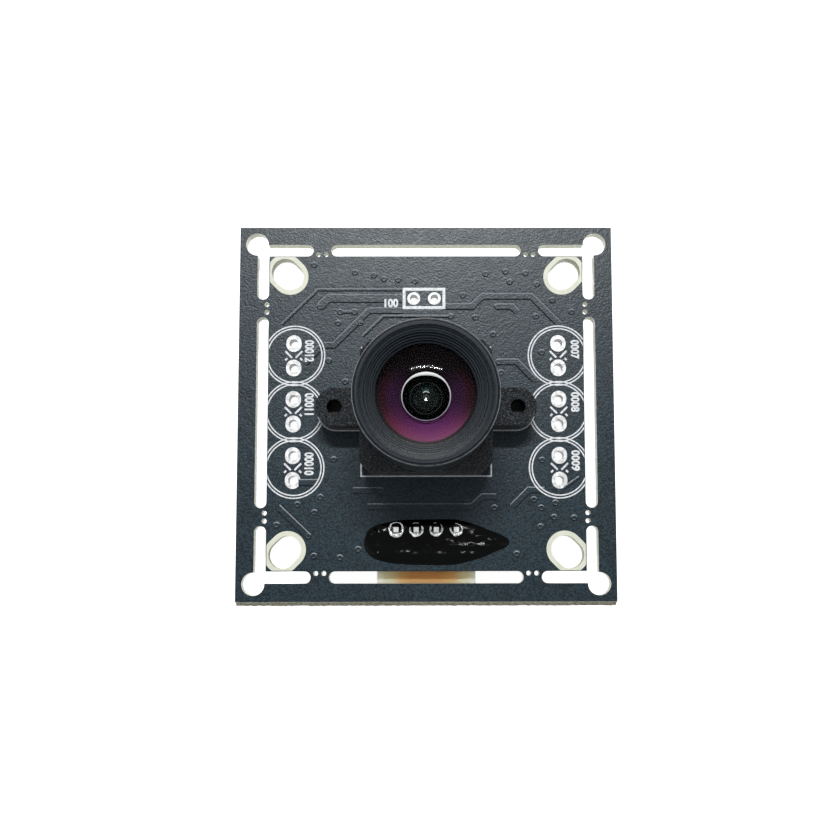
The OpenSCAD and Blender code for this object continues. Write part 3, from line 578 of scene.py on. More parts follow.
def clearGlassFinish():
    # coated front glass: almost no reflection outside, a greenish one from its hollow
    s = glassSet
    f = Finish("front glass", (1, 1, 1), 0.02)
    clear = f.add("ShaderNodeBsdfTransparent")
    side = f.add("ShaderNodeNewGeometry")
    start, end = s["hollowEnds"]
    inHollow = f.span(f.radius(), start * mm, end * mm, 0.0, s["hollowShare"])
    both = f.add("ShaderNodeMixShader")
    f.link(side.outputs["Backfacing"], both.inputs[0])
    for slot, face, share in ((1, "outside", s["outsideShare"]), (2, "hollow", inHollow)):
        gloss = f.add("ShaderNodeBsdfGlossy")
        gloss.inputs["Color"].default_value = (*s[face], 1)
        gloss.inputs["Roughness"].default_value = s[face + "Rough"]
        layer = f.add("ShaderNodeMixShader")
        if isinstance(share, float):
            layer.inputs[0].default_value = share
        else:
            f.link(share, layer.inputs[0])
        f.link(clear.outputs[0], layer.inputs[1])
        f.link(gloss.outputs[0], layer.inputs[2])
        f.link(layer.outputs[0], both.inputs[slot])
    f.link(both.outputs[0], f.output.inputs["Surface"])
    return f.material


eyeGlass = {
    "radius": 2.25,
    "domeRadius": 2.9,
    "dip": 0.09,
    "dipWide": 0.3,
    "ridge": 1.5,
    "ridgeWide": 0.1,
    "ridgeHigh": 0.03,
    "ridgeShape": 0.4,
    "depth": 0.6,
    "steps": 72,
    "turns": 96,
    "middle": 0.3,                              # radius of its polished middle
    "middleThick": 0.1,
    "middleSteps": 12,
    "middleTurns": 48,
    # painted reflections: a greenish middle and a light ring on the ridge
    "centreReflectionColour": (0.0015, 0.0035, 0.003),
    "edgeColour": (0.001, 0.0013, 0.0018),
    "fade": (0.4, 2.1),
    "ridgeHighlightColour": (0.030, 0.033, 0.032),
    "ridgeEnds": (0.5, 0.15),
    "smooth": 0.042,
    "dull": 0.096,
    "middleColour": (0.002, 0.004, 0.0035),
    "middlePatches": (0.2, 2, 0.4, 0.6),
    "middleDark": (0.0015, 0.003, 0.0025),
    "middleLight": (0.003, 0.007, 0.006),
}


def darkGlassFinish():
    # dark glass with painted reflections: a faint greenish middle that fades towards its edge, and a dim
    # light ring where its ridge stands
    s = eyeGlass
    f = Finish("second glass", s["centreReflectionColour"], 0.06, specular=0.1)
    far = f.radius()
    start, end = s["fade"]
    plain = f.mix(f.span(far, start * mm, end * mm), s["centreReflectionColour"], s["edgeColour"])
    off = f.math("ABSOLUTE", f.math("SUBTRACT", far, s["ridge"] * mm))
    start, end = (share * s["ridgeWide"] * mm for share in s["ridgeEnds"])
    f.colour(f.mix(f.span(off, start, end), plain, s["ridgeHighlightColour"]))
    f.sheen((0.8, 3, 0.3, 0.7), s["smooth"], s["dull"])
    return f.material


def polishedGlassFinish():
    s = eyeGlass
    f = Finish("polished middle", s["middleColour"], 0.05, specular=0.7)
    f.colour(f.patches(s["middlePatches"], s["middleDark"], s["middleLight"]))
    return f.material


chipSet = {"lighter": 2.2, "dents": 0.5, "depth": 0.03}


def chipFinish(name, base, grainSize=0.12):
    s = chipSet
    f = Finish(name, base, 0.55, specular=0.25)
    f.colour(f.patches((grainSize, 4, 0.35, 0.7), base, tuple(c * s["lighter"] for c in base)))
    f.dents(grainSize, 3, s["dents"], s["depth"])
    return f.material


def thinGlassFinish(name, tint, alpha):
    f = Finish(name, tint, 0.05)
    f.shader.inputs["Alpha"].default_value = alpha
    f.colour(f.patches((2.0, 2, 0.3, 0.7), tint, tuple(c * 0.85 for c in tint)))
    return f.material


siliconSet = {
    "colour": (0.05, 0.04, 0.1),
    "half": 3.0,
    "tones": [(0.0, (0.03, 0.06, 0.10)), (0.5, (0.09, 0.04, 0.12)), (1.0, (0.04, 0.09, 0.06))],
    "cell": 0.1,
}


def siliconFinish():
    s = siliconSet
    f = Finish("silicon", s["colour"], 0.2, metallic=0.6)
    x, y, z = f.axes()
    f.colour(f.ramp(f.span(x, -s["half"] * mm, s["half"] * mm), s["tones"]))
    f.bump(f.cells(s["cell"]), 0.2, 0.01)
    return f.material


# the finishes by name, each with its own colours and roughness
finishes = {
    "solder_mask": solderMaskFinish("solder mask", (0.0070, 0.0165, 0.0235), (0.0100, 0.0210, 0.0290), 0.29),
    "masked_copper": solderMaskFinish("mask over copper", (0.0070, 0.0170, 0.0240), (0.0100, 0.0220, 0.0300),
                                      0.29, relief=True),
    "bare_tin": plainFinish("bare tin", bareTin),
    "pad_tin": plainFinish("pad tin", padTin),
    "white_print": plainFinish("white ink", whiteInk),
    "tan_nylon": nylonFinish(),
    "tinned_brass": platedFinish("tinned contact", (0.84, 0.84, 0.83), 0.25, 0.25, 0.08),
    "solder": plainFinish("bright solder", brightSolder),
    "black_resin": plainFinish("black resin", blackResin),
    "black_moulding": mouldingFinish(),
    "black_anodised": anodisedFinish(),
    "black_shim": chipFinish("black shim", (0.008, 0.008, 0.009)),
    "coating": coatingFinish(),
    "front_glass": clearGlassFinish(),
    "dark_glass": darkGlassFinish(),
    "polished_glass": polishedGlassFinish(),
    "rear_glass": thinGlassFinish("rear glass", (0.7, 0.85, 0.8), 0.35),
    "filter_glass": thinGlassFinish("filter glass", (0.35, 0.7, 0.75), 0.5),
    "cover_glass": thinGlassFinish("cover glass", (0.8, 0.88, 0.9), 0.3),
    "silicon": siliconFinish(),
    "ceramic_package": chipFinish("package ceramic", (0.03, 0.03, 0.033)),
    "chip_epoxy": chipFinish("black epoxy", (0.016, 0.016, 0.018)),
    "tinned_leads": platedFinish("tinned lead", (0.74, 0.75, 0.76), 0.3, 0.25),
    "screw_steel": chipFinish("blackened screw", (0.004, 0.004, 0.005), 0.3),
    "capacitor_ceramic": chipFinish("capacitor ceramic", (0.30, 0.19, 0.09)),
    "resistor_ceramic": chipFinish("resistor glaze", (0.012, 0.012, 0.014), 0.3),
}
print("finishes made:", len(finishes))


cadDress = {
    # node: (finish, width of its softened edges in mm, or None)
    "circuit_board": ("solder_mask", 0.04),
    "mounting_rings": ("bare_tin", None),
    "lamp_pads": ("pad_tin", None),
    "cell_pads": ("pad_tin", None),
    "connector_pads": ("pad_tin", None),
    "front_tracks": ("masked_copper", None),
    "board_markings": ("white_print", None),
    "connector_housing": ("tan_nylon", 0.08),
    "connector_pins": ("tinned_brass", 0.06),
    "lens_holder": ("black_moulding", 0.14),
    "holder_screws": ("screw_steel", 0.05),
    "aperture_plate": ("black_shim", None),
    "spacer_tube": ("black_shim", None),
    "rear_lens": ("rear_glass", None),
    "rear_ring": ("black_anodised", None),
    "infrared_filter": ("filter_glass", None),
    "sensor_package": ("ceramic_package", 0.05),
    "sensor_chip": ("silicon", None),
    "sensor_cover": ("cover_glass", None),
    "video_processor": ("chip_epoxy", 0.04),
    "processor_leads": ("tinned_leads", None),
    "flash_memory": ("chip_epoxy", 0.12),
    "flash_leads": ("tinned_leads", 0.03),
    "voltage_regulators": ("chip_epoxy", 0.1),
    "regulator_leads": ("tinned_leads", 0.03),
    "crystal": ("tinned_leads", 0.08),
    "capacitors": ("capacitor_ceramic", 0.03),
    "capacitor_ends": ("tinned_leads", 0.04),
    "resistors": ("resistor_ceramic", 0.03),
    "resistor_ends": ("tinned_leads", 0.04),
}
for nodeName, (finish, edgeWidth) in cadDress.items():
    node = cadNodes[nodeName]
    node.data.materials.clear()
    node.data.materials.append(finishes[finish])
    if edgeWidth:
        softEdges(node, edgeWidth)
print("CAD nodes dressed:", len(cadDress))


lensBody = {
    "bevel": 0.1,           # outer edge of the head
    "rimWidth": 0.45,       # flat round the mouth
    "lineBack": 0.2,        # fine groove in that flat, from the outer edge
    "lineWide": 0.06,
    "lineDeep": 0.05,
    "mouthSteps": 2,
    "fall": 0.20,           # slope of the steps' treads
    "groove": 0.12,         # two fine grooves round the head
    "grooves": (1.1, 1.5),  # their heights above the head's underside
    "grooveShape": ((0, 0.0), (1, 0.06), (1, 0.14), (0, 0.2)),      # share of its depth, height
    "threadStart": 0.2,
    "threadPitch": 0.5,
    "threadDepth": 0.27,
    "threadRadius": 6.0,
    "threadShape": ((0, 0.0), (1, 0.2), (1, 0.26), (0, 0.45)),
    "headUnder": 12.6,      # height of the head's underside
    "lipTop": 13.0,
    "lip": 0.5,
    "innerRadius": 3.6,
    "lipRadius": 2.6,
    "turns": 144,
    "sharperThan": 20,
}


def buildLensBody():
    s = lensBody
    outer = headRadius
    bore = ringHigh[0]
    seat = glassHigh[0]
    root = s["threadRadius"] - s["threadDepth"]
    under = s["headUnder"]
    profile = [(s["innerRadius"], barrelLow[2])]
    for i in range(int((under - barrelLow[2]) / s["threadPitch"]) - 1):
        z = barrelLow[2] + s["threadStart"] + i * s["threadPitch"]
        profile += [(root + share * s["threadDepth"], z + up) for share, up in s["threadShape"]]
    profile += [(root, under), (outer - s["bevel"], under), (outer, under + s["bevel"])]
    for start in s["grooves"]:
        profile += [(outer - share * s["groove"], under + start + up) for share, up in s["grooveShape"]]
    profile += arcPoints((outer - s["bevel"], mouthZ - s["bevel"]), s["bevel"], 0, 90, 4)
    line, wide = outer - s["lineBack"], s["lineWide"]
    profile += [(line, mouthZ), (line - wide / 2, mouthZ - s["lineDeep"]), (line - wide, mouthZ)]
    rim = outer - s["bevel"] - s["rimWidth"]
    profile.append((rim, mouthZ))
    width = (rim - bore) / s["mouthSteps"]
    rise = (mouthZ - ringHigh[2]) / s["mouthSteps"]
    for i in range(s["mouthSteps"]):
        z = mouthZ - rise * (i + 1)
        profile += [(rim - width * i, z + width * s["fall"]), (rim - width * (i + 1), z)]
    lipTop, lipUnder = s["lipTop"], s["lipTop"] - s["lip"]
    profile += [(bore, ringLow[2]), (seat, ringLow[2]), (seat, lipTop)]
    profile += [(s["lipRadius"], lipTop), (s["lipRadius"], lipUnder), (s["innerRadius"], lipUnder)]
    verts, faces = revolve(profile, s["turns"])
    piece = makePiece("lensBody", verts, faces, finishes["black_anodised"], "lens", ["lens_barrel"])
    smoothByAngle(piece, s["sharperThan"])


stepRing = {"steps": 4, "openRadius": 4.65, "wall": 0.25, "fall": 0.20, "undercut": 0.12, "slit": 0.055,
            "turns": 144, "sharperThan": 15}


def buildStepRing():
    # each step's riser is cut under the one above it, which leaves a dark fine line
    s = stepRing
    outer, low, high = ringHigh[0], ringLow[2], ringHigh[2]
    width = (outer - s["openRadius"]) / (s["steps"] + 1)
    rise = (high - low - s["wall"]) / s["steps"]
    profile = [(s["openRadius"], low), (outer, low), (outer, high)]
    for i in range(s["steps"]):
        r = outer - width * (i + 1)
        foot = high - rise * (i + 1)
        profile += [(r, high - rise * i - width * s["fall"]), (r, foot - s["undercut"])]
        profile += [(r - s["slit"], foot - s["undercut"]), (r - s["slit"], foot - s["slit"] * s["fall"])]
    profile.append((s["openRadius"], low + s["wall"] - width * s["fall"]))
    verts, faces = revolve(profile, s["turns"])
    piece = makePiece("frontRing", verts, faces, finishes["black_anodised"], "lens", ["retaining_ring"])
    smoothByAngle(piece, s["sharperThan"])


buildLensBody()
buildStepRing()
print("lens body built")


frontGlass = {"domeRadius": 18.0, "bowlRadius": 2.6, "bowlOpen": 2.24, "steps": 24, "radius": 5.15,
              "turns": 96, "sharperThan": 40}
coatedRing = {"inner": 2.32, "outer": 5.1, "back": 0.03, "drop": 0.6, "bend": 4.75, "curve": 1.3, "steps": 8,
              "turns": 128, "sharperThan": 30}
# the rim's colours below and above give a painted highlight on its upper side
brightEdge = {"outer": 2.3, "thick": 0.058, "crescent": 0.18, "sharpness": 4, "sink": 0.02,
              "turns": 160, "around": 10, "fade": (-2.6, 2.2), "below": (0.20, 0.14, 0.24),
              "above": (0.95, 0.98, 0.96)}
axisGap = 0.001             # a revolved form that closes on the axis stops this far from it


def domeProfile(radius, reach, top, steps):
    # from the edge up to the axis, on a sphere whose highest point is at top
    points = []
    for i in range(steps + 1):
        r = reach * (1 - i / steps)
        points.append((max(r, axisGap), top - radius + math.sqrt(radius * radius - r * r)))
    return points


def buildFrontGlass():
    s = frontGlass
    top, back = glassHigh[2], glassLow[2]
    outside = domeProfile(s["domeRadius"], s["radius"], top, s["steps"])
    bowlTop = back + s["bowlRadius"] - math.sqrt(s["bowlRadius"] ** 2 - s["bowlOpen"] ** 2)
    inside = [(r, z) for r, z in reversed(domeProfile(s["bowlRadius"], s["bowlOpen"], bowlTop, s["steps"]))]
    profile = outside + inside + [(s["radius"], back)]
    verts, faces = revolve(profile, s["turns"])
    piece = makePiece("frontGlass", verts, faces, finishes["front_glass"], "lens", ["front_lens"])
    # only seen directly: light that bounces about inside the lens passes it by
    piece.visible_diffuse = False
    piece.visible_glossy = False
    smoothByAngle(piece, s["sharperThan"])


def buildCoatedRing():
    # black ring behind the glass, dished towards the middle; its face carries the violet coating
    s = coatedRing
    top, low = spacerHigh[2] - s["back"], spacerLow[2]
    profile = [(s["inner"], low), (s["outer"], low), (s["outer"], top), (s["bend"], top)]
    for i in range(1, s["steps"] + 1):
        t = i / s["steps"]
        profile.append((s["bend"] + (s["inner"] - s["bend"]) * t, top - s["drop"] * t ** s["curve"]))
    verts, faces = revolve(profile, s["turns"])
    piece = makePiece("coatedRing", verts, faces, finishes["coating"], "lens", ["front_spacer"])
    smoothByAngle(piece, s["sharperThan"])


def buildBrightEdge():
    # ground rim of the hollow in the glass, with a thicker crescent on its upper side; its colour is a
    # painted highlight, near white above and dim violet below
    s = brightEdge
    f = Finish("ground rim", (0.75, 0.72, 0.78), 0.3)
    x, y, z = f.axes()
    low, high = s["fade"]
    # painted highlight: lighter towards the upper side
    f.colour(f.mix(f.span(y, low * mm, high * mm), s["below"], s["above"]))
    f.dents(0.3, 2, 0.2, 0.02)
    middle = spacerHigh[2] - s["sink"] - s["thick"]
    verts = []
    for j in range(s["turns"]):
        angle = 2 * math.pi * j / s["turns"]
        lift = max(0.0, math.sin(angle)) ** s["sharpness"]
        thick = s["thick"] + (s["crescent"] - s["thick"]) * lift
        for i in range(s["around"]):
            turn = 2 * math.pi * i / s["around"]
            r = s["outer"] - thick + thick * math.cos(turn)
            verts.append((r * math.cos(angle), r * math.sin(angle), middle + s["thick"] * math.sin(turn)))
    faces = ringFaces(s["turns"], s["around"], True)
    makePiece("groundRim", verts, faces, f.material, "lens")


def buildEyeGlass():
    # domed second lens with a fine raised ring; its polished middle dips a little
    s = eyeGlass
    top = secondHigh[2]

    def height(r):
        z = top - s["domeRadius"] + math.sqrt(s["domeRadius"] ** 2 - r * r)
        z -= s["dip"] * math.exp(-(r / s["dipWide"]) ** 2)
        return z + s["ridgeHigh"] * math.exp(-((r - s["ridge"]) / (s["ridgeShape"] * s["ridgeWide"])) ** 2)

    middle, count = s["middle"], s["steps"]
    radii = [s["radius"] + (middle - s["radius"]) * i / count for i in range(count + 1)]
    edge = height(s["radius"]) - s["depth"]
    profile = [(middle, edge), (s["radius"], edge)] + [(r, height(r)) for r in radii]
    verts, faces = revolve(profile, s["turns"])
    piece = makePiece("secondGlass", verts, faces, finishes["dark_glass"], "lens", ["second_lens"])
    smoothByAngle(piece, frontGlass["sharperThan"])
    count = s["middleSteps"]
    radii = [max(middle * (1 - i / count), axisGap) for i in range(count + 1)]
    edge = height(0) - s["middleThick"]
    profile = [(axisGap, edge), (middle, edge)] + [(r, height(r)) for r in radii]
    verts, faces = revolve(profile, s["middleTurns"], closeProfile=False)
    piece = makePiece("secondGlassMiddle", verts, faces, finishes["polished_glass"], "lens")
    smoothByAngle(piece, frontGlass["sharperThan"])


buildFrontGlass()
buildCoatedRing()
buildBrightEdge()
buildEyeGlass()
print("glasses built")


resinSet = {
    "rings": 56,
    "turns": 260,
    "skin": 0.052,              # its thin edge, above the board
    "bottom": 0.03,
    "centre": (-1.0, -0.02),    # the rings' centre, from the middle of the solid
    "dome": 0.36,
    "domePower": 7,
    "fadePower": 12,
    "wave": 0.05,
    "leftOut": 0.12,            # how far the outline passes the solid
    "rightIn": 0.02,
    "wider": 0.13,
    "rightBend": (0.8, 0.8),    # below 1 the outline is squarer than an ellipse
    "leftBend": (0.68, 0.72),
    "tipFrom": 0.15,
    "tip": 0.55,
    "tipPower": 1.2,
    "wobble": 0.035,
    "wobbles": 2.2,
    # wrinkles: from x, to x, y, height, half width
    "folds": [(1.8, 6.8, -13.55, 0.095, 0.30), (-3.6, 2.0, -14.32, 0.065, 0.28),
              (3.0, 7.4, -14.34, 0.11, 0.28), (4.7, 6.1, -12.52, 0.11, 0.28), (6.1, 7.4, -12.92, 0.12, 0.26)],
    "foldEnd": 0.15,
    # small lumps: x, y, height, half width
    "lumps": [(-5.25, -12.05, 0.2, 0.34), (-4.95, -14.4, 0.2, 0.32), (7.3, -13.4, 0.14, 0.28),
              (0.0, -14.8, 0.10, 0.2), (1.6, -14.9, 0.10, 0.2), (-2.9, -12.9, 0.04, 0.2)],
}


def resinEdge(angle):
    # outline of the drop: round on the left, drawn out to a tip on the right
    s = resinSet
    left, right = resinLow[0] - s["leftOut"], resinHigh[0] - s["rightIn"]
    halfLength, halfWidth = (right - left) / 2, (resinHigh[1] - resinLow[1]) / 2 + s["wider"]
    across, up = math.cos(angle), math.sin(angle)
    bendX, bendY = s["rightBend"] if across > 0 else s["leftBend"]
    x = math.copysign(abs(across) ** bendX, across) * halfLength
    y = math.copysign(abs(up) ** bendY, up) * halfWidth
    if across >= s["tipFrom"]:
        y *= 1 - s["tip"] * ((across - s["tipFrom"]) / (1 - s["tipFrom"])) ** s["tipPower"]
    wobble = 1 + s["wobble"] * noise.noise(Vector((s["wobbles"] * across, s["wobbles"] * up, 3.0)))
    return (left + right) / 2 + x * min(wobble, 1.0), y * wobble


def resinHeight(x, y, t):
    # height of the drop above its thin edge; t runs from 0 at its middle to 1 at its edge
    s = resinSet
    wave = noise.noise(Vector((x * 0.9, y * 1.1, 5.0))) + 0.5 * noise.noise(Vector((x * 2.4, y * 2.4, 9.0)))
    height = s["dome"] * (1 - t ** s["domePower"]) * (1 + s["wave"] * wave / s["dome"])
    rough = 0.75 + 0.7 * noise.noise(Vector((x * 1.9, y * 1.5, 2.0)))
    fade = 1 - t ** s["fadePower"]
    end = s["foldEnd"]
    for low, high, row, tall, wide in s["folds"]:
        inside = 1 / (1 + math.exp(-(x - low) / end)) / (1 + math.exp((x - high) / end))
        height += fade * tall * rough * inside * math.exp(-((y - row) / wide) ** 2)
    for lumpX, lumpY, tall, wide in s["lumps"]:
        height += fade * tall * math.exp(-((x - lumpX) ** 2 + (y - lumpY) ** 2) / wide ** 2)
    return max(height, 0.0)


def buildResin():
    s = resinSet
    midX = (resinLow[0] + resinHigh[0]) / 2 + s["centre"][0]
    midY = (resinLow[1] + resinHigh[1]) / 2 + s["centre"][1]
    turns = s["turns"]
    verts = []
    for ring in range(s["rings"] + 1):
        t = ring / s["rings"]
        for j in range(turns):
            ex, ey = resinEdge(2 * math.pi * j / turns)
            x, y = midX + (ex - midX) * t, midY + ey * t
            verts.append((x, y, boardTop + s["skin"] + resinHeight(x, y, t)))
    faces = ringFaces(s["rings"] + 1, turns, False)
    edge, bottom = s["rings"] * turns, len(verts)
    verts += [(x, y, boardTop + s["bottom"]) for x, y, z in verts[edge:]]
    verts.append((midX, midY, boardTop + s["bottom"]))
    for j in range(turns):
        k = (j + 1) % turns
        faces.append((edge + j, edge + k, bottom + k, bottom + j))
        faces.append((bottom + j, bottom + k, len(verts) - 1))
    makePiece("sealingDrop", verts, faces, finishes["black_resin"], "board", ["sealing_resin"])


solderSet = {
    "pitch": 2.0,
    "row": -11.9,
    "scale": (1.08, 1.0, 0.95, 0.9),    # of the four joints, from the left
    "outer": 0.74,
    "tube": 0.24,
    "thin": 0.2,                        # share of the tube's thickness on its upper side
    "sink": 0.14,
    "rise": 1.3,
    "flat": 0.8,
    "lumps": 0.12,
    "turns": 48,
    "around": 12,
    "tip": 0.25,
    "tipSink": 0.15,
    "tipRise": 0.09,
    "tipRows": 7,
}


def solderRing(x, pin, scale, level):
    # an open ring of solder, thickest on its lower side
    s = solderSet
    verts = []
    for j in range(s["turns"]):
        angle = 2 * math.pi * j / s["turns"]
        low = (1 - math.sin(angle)) / 2
        tube = s["tube"] * (s["thin"] + (1 - s["thin"]) * low) * scale
        lump = 1 + s["lumps"] * noise.noise(Vector((math.cos(angle) * 2 + pin * 7, math.sin(angle) * 2, 1.0)))
        height = level - s["sink"] + s["sink"] * s["rise"] * low
        for i in range(s["around"]):
            turn = 2 * math.pi * i / s["around"]
            r = (s["outer"] * scale - tube + tube * math.cos(turn)) * lump
            verts.append((x + r * math.cos(angle), s["row"] + r * math.sin(angle),
                          height + tube * s["flat"] * math.sin(turn)))
    return verts, ringFaces(s["turns"], s["around"], True)


def solderTip(x, level):
    # a small dome over the contact's end
    s = solderSet
    rows, around = s["tipRows"], s["around"]
    foot = level - s["tipSink"]
    verts = []
    for i in range(rows):
        t = i / (rows - 1) * math.pi / 2
        r = max(s["tip"] * math.cos(t), 2 * axisGap)
        for j in range(around):
            angle = 2 * math.pi * j / around
            verts.append((x + r * math.cos(angle), s["row"] + r * math.sin(angle),
                          foot + (solderHigh[2] + s["tipRise"] - foot) * math.sin(t)))
    faces = ringFaces(rows, around, False)
    return verts, faces + [list(range(around)), [(rows - 1) * around + k for k in range(around)]]


def buildSolder():
    # each joint shows as an open ring and a bright tip in its middle
    s = solderSet
    verts, faces = [], []
    level = boardTop + resinSet["skin"] + resinSet["dome"]
    for pin, scale in enumerate(s["scale"]):
        x = (pin - (len(s["scale"]) - 1) / 2) * s["pitch"]
        for partVerts, partFaces in (solderRing(x, pin, scale, level), solderTip(x, level)):
            faces += [[len(verts) + k for k in face] for face in partFaces]
            verts += partVerts
    piece = makePiece("solderJoints", verts, faces, finishes["solder"], "board", ["solder_joints"])
    smoothByAngle(piece, 60)


buildSolder()
buildResin()
print("solder and resin built")


reliefSet = {
    "level": 0.049,         # its foot, above the board
    "high": 0.028,
    "slope": 0.1,
    "shoulder": (0.4, 0.62),
    # widths of the three kinds of track
    "fine": 0.24,
    "broad": 0.58,
    "cell": 0.8,
    "sharpest": 0.3,
    # half of a via's section: distance from its middle, share of the height
    "via": [(0.35, 0.0), (0.30, 0.8), (0.23, 1.3), (0.18, 1.3), (0.13, 0.9), (0.10, 0.0)],
    "viaTurns": 20,
    "tracks": [
        ("fine", [(-14.64, 8.93), (-11, 12.51), (-2.39, 12.51)]),
        ("fine", [(-6.45, 7.69), (-4.34, 9.75), (2.53, 9.75)]),
        ("fine", [(-8.72, 10.21), (-7.25, 10.21)]),
        ("fine", [(13.86, -7.72), (15.4, -6.64)]),
        ("cell", [(-10.79, 10.73), (-9.95, 11.6), (-2.39, 11.6)]),
        ("broad", [(-10.4, 6.78), (-9.32, 6.78), (-5.8, 10.34), (-2.3, 10.34)]),
        ("broad", [(1.8, 10.77), (4.71, 10.77), (5.77, 11.81), (10.72, 11.81), (13.58, 8.88)]),
        ("broad", [(7.26, 10.75), (8.73, 10.75), (9.26, 10.18)]),
        ("broad", [(7.33, 5.06), (9.19, 5.06), (10.97, 3.2)]),
        ("broad", [(-14.87, -9.59), (-11.79, -12.5)]),
        ("broad", [(-7.32, -7.96), (-4.6, -7.96)]),
        ("broad", [(-5.87, -9.59), (4.55, -9.59), (5.67, -8.6), (7, -8.6)]),
        ("broad", [(8.61, -9.6), (10.29, -7.94), (11.85, -7.94)]),
        ("broad", [(-12.8, -7.14), (-10.89, -7.14)]),
        ("broad", [(-12.28, 4.9), (-10.67, 6.61)]),
    ],
    "vias": [
        (-10.79, 10.73), (2.53, 9.75), (-8.72, 10.21), (-7.25, 10.21), (7.26, 10.75), (7.33, 5.06),
        (-11.79, -12.5), (-4.6, -7.96), (-7.24, 14.3), (-5.31, 14.01), (-4.28, 13.61), (-2.84, 13.55),
        (-1.12, 13.38), (-11.42, 15.09), (-8.94, 9.07), (-6.68, 9.07), (-9.87, 5.18), (-8.17, 3.05),
        (6.09, 14.15), (8.12, 14.39), (10.16, 14.24), (8.55, 13.31), (11.34, 13.06), (12.87, 11.41),
        (14.83, 10.2), (11.19, 9.74), (5.04, 9.63), (6.82, 7.91), (3.78, 11.93), (11.74, 6.02),
        (7.6, 3.97), (-10.6, -8.62), (-12.89, -9.36), (-11.18, -10.14), (-14.93, -11.39),
        (-11.19, -14.48), (-8.61, -14.65), (-6.79, -13.83), (-9.29, -4.84), (10.79, -8.88),
        (11.52, -9.72), (12.79, -10.66), (14.79, -10.72), (12.95, -9.22), (11.42, -11.6), (6.83, -9.71),
        (9.01, -14.3), (11.64, -4.92),
    ],
}


def ribRows(points, width):
    # cross sections along a track, mitred at its corners
    s = reliefSet
    half = width / 2 - s["slope"] / 2
    out, up = s["shoulder"]
    side = [(half, 1.0), (half + out * s["slope"], up), (half + s["slope"], 0.0)]
    section = [(-off, tall) for off, tall in reversed(side)] + side
    corners = [Vector(point) for point in points]
    legs = [(b - a).normalized() for a, b in zip(corners, corners[1:])]
    rows = []
    for i, corner in enumerate(corners):
        before, after = legs[max(i - 1, 0)], legs[min(i, len(legs) - 1)]
        along = (before + after).normalized()
        across = Vector((-along.y, along.x)) / max(along.dot(before), s["sharpest"])
        rows.append([(corner.x + across.x * off, corner.y + across.y * off, tall) for off, tall in section])
    return rows


def buildRelief():
    # the copper under the mask: tracks as low ribs and a small crater at each via
    s = reliefSet
    base = boardTop + s["level"]
    verts, faces = [], []
    for kind, points in s["tracks"]:
        rows = ribRows(points, s[kind])
        start = len(verts)
        for row in rows:
            verts += [(x, y, base + tall * s["high"]) for x, y, tall in row]
        wide = len(rows[0])
        for i in range(len(rows) - 1):
            a = start + i * wide
            faces += [(a + k, a + k + 1, a + k + 1 + wide, a + k + wide) for k in range(wide - 1)]
            faces.append((a, a + wide, a + 2 * wide - 1, a + wide - 1))
        for end in (start, start + (len(rows) - 1) * wide):
            faces.append([end + k for k in range(wide)])
    profile = [(r, base + share * s["high"]) for r, share in s["via"]]
    for place in s["vias"]:
        ring, ringQuads = revolve(profile, s["viaTurns"], centre=place)
        faces += [[len(verts) + k for k in face] for face in ringQuads]
        verts += ring
    makePiece("trackRelief", verts, faces, finishes["masked_copper"], "board",
              smooth=False)


buildRelief()
print("track relief built")


inkLevel = 0.085            # middle of the numbers' ink, above the board
numberSet = {
    "thick": 0.02,
    "bold": 0.042,
    "curveSteps": 4,
    # text, quarter turns, and the box it fills: low x, low y, high x, high y
    "number1": ("00012", -1, (-12.30, 5.06, -11.34, 7.30)),
    "number2": ("00011", -1, (-12.27, -0.34, -11.31, 1.88)),
    "number3": ("00010", -1, (-12.24, -6.43, -11.28, -4.12)),
    "number4": ("0007", -1, (14.66, 5.34, 15.54, 7.30)),
    "number5": ("0008", -1, (14.62, -0.06, 15.50, 1.96)),
    "number6": ("0009", -1, (14.58, -6.02, 15.46, -3.94)),
    "numberCell": ("001", 2, (-4.23, 10.66, -2.82, 11.56)),
}


def printNumber(name, text, quarters, box):
    # the figures as a mesh, stretched to fill their box
    curve = bpy.data.curves.new(name, "FONT")
    curve.body = text
    curve.offset = numberSet["bold"]
    curve.extrude = 0.5
    curve.resolution_u = numberSet["curveSteps"]
    sketch = bpy.data.objects.new(name + "Sketch", curve)
    bpy.context.scene.collection.objects.link(sketch)
    bpy.context.view_layer.update()
    flat = bpy.data.meshes.new_from_object(sketch)
    points = [v.co.copy() for v in flat.vertices]
    faces = [list(face.vertices) for face in flat.polygons]
    bpy.data.objects.remove(sketch)
    bpy.data.meshes.remove(flat)
    turn = math.radians(90 * quarters)
    across, up = math.cos(turn), math.sin(turn)
    turned = [(p.x * across - p.y * up, p.x * up + p.y * across) for p in points]
    low, high = [[pick(p[k] for p in turned) for k in (0, 1)] for pick in (min, max)]
    fitX, fitY = [(box[k + 2] - box[k]) / (high[k] - low[k]) for k in (0, 1)]
    level = boardTop + inkLevel
    verts = [(box[0] + (x - low[0]) * fitX, box[1] + (y - low[1]) * fitY, level + numberSet["thick"] * p.z)
             for (x, y), p in zip(turned, points)]
    makePiece(name, verts, faces, finishes["white_print"], "board", smooth=False)


for name, value in numberSet.items():
    if name.startswith("number"):
        printNumber(name, *value)
print("numbers printed")


snappedEdge = {
    "reach": 0.42,
    "steps": 240,
    "tear": 0.07,
    "tearUp": 0.5,
    "in": 0.01,             # set into the board's edge, and in from its ends
    "endIn": 0.03,
    # section: share of the reach, height
    "section": [(0.0, 1.56), (0.16, 1.32), (0.30, 1.08), (0.72, 0.80), (1.0, 0.62), (0.8, 0.42), (0.0, 0.3)],
    "tornFrom": 0.2,
}


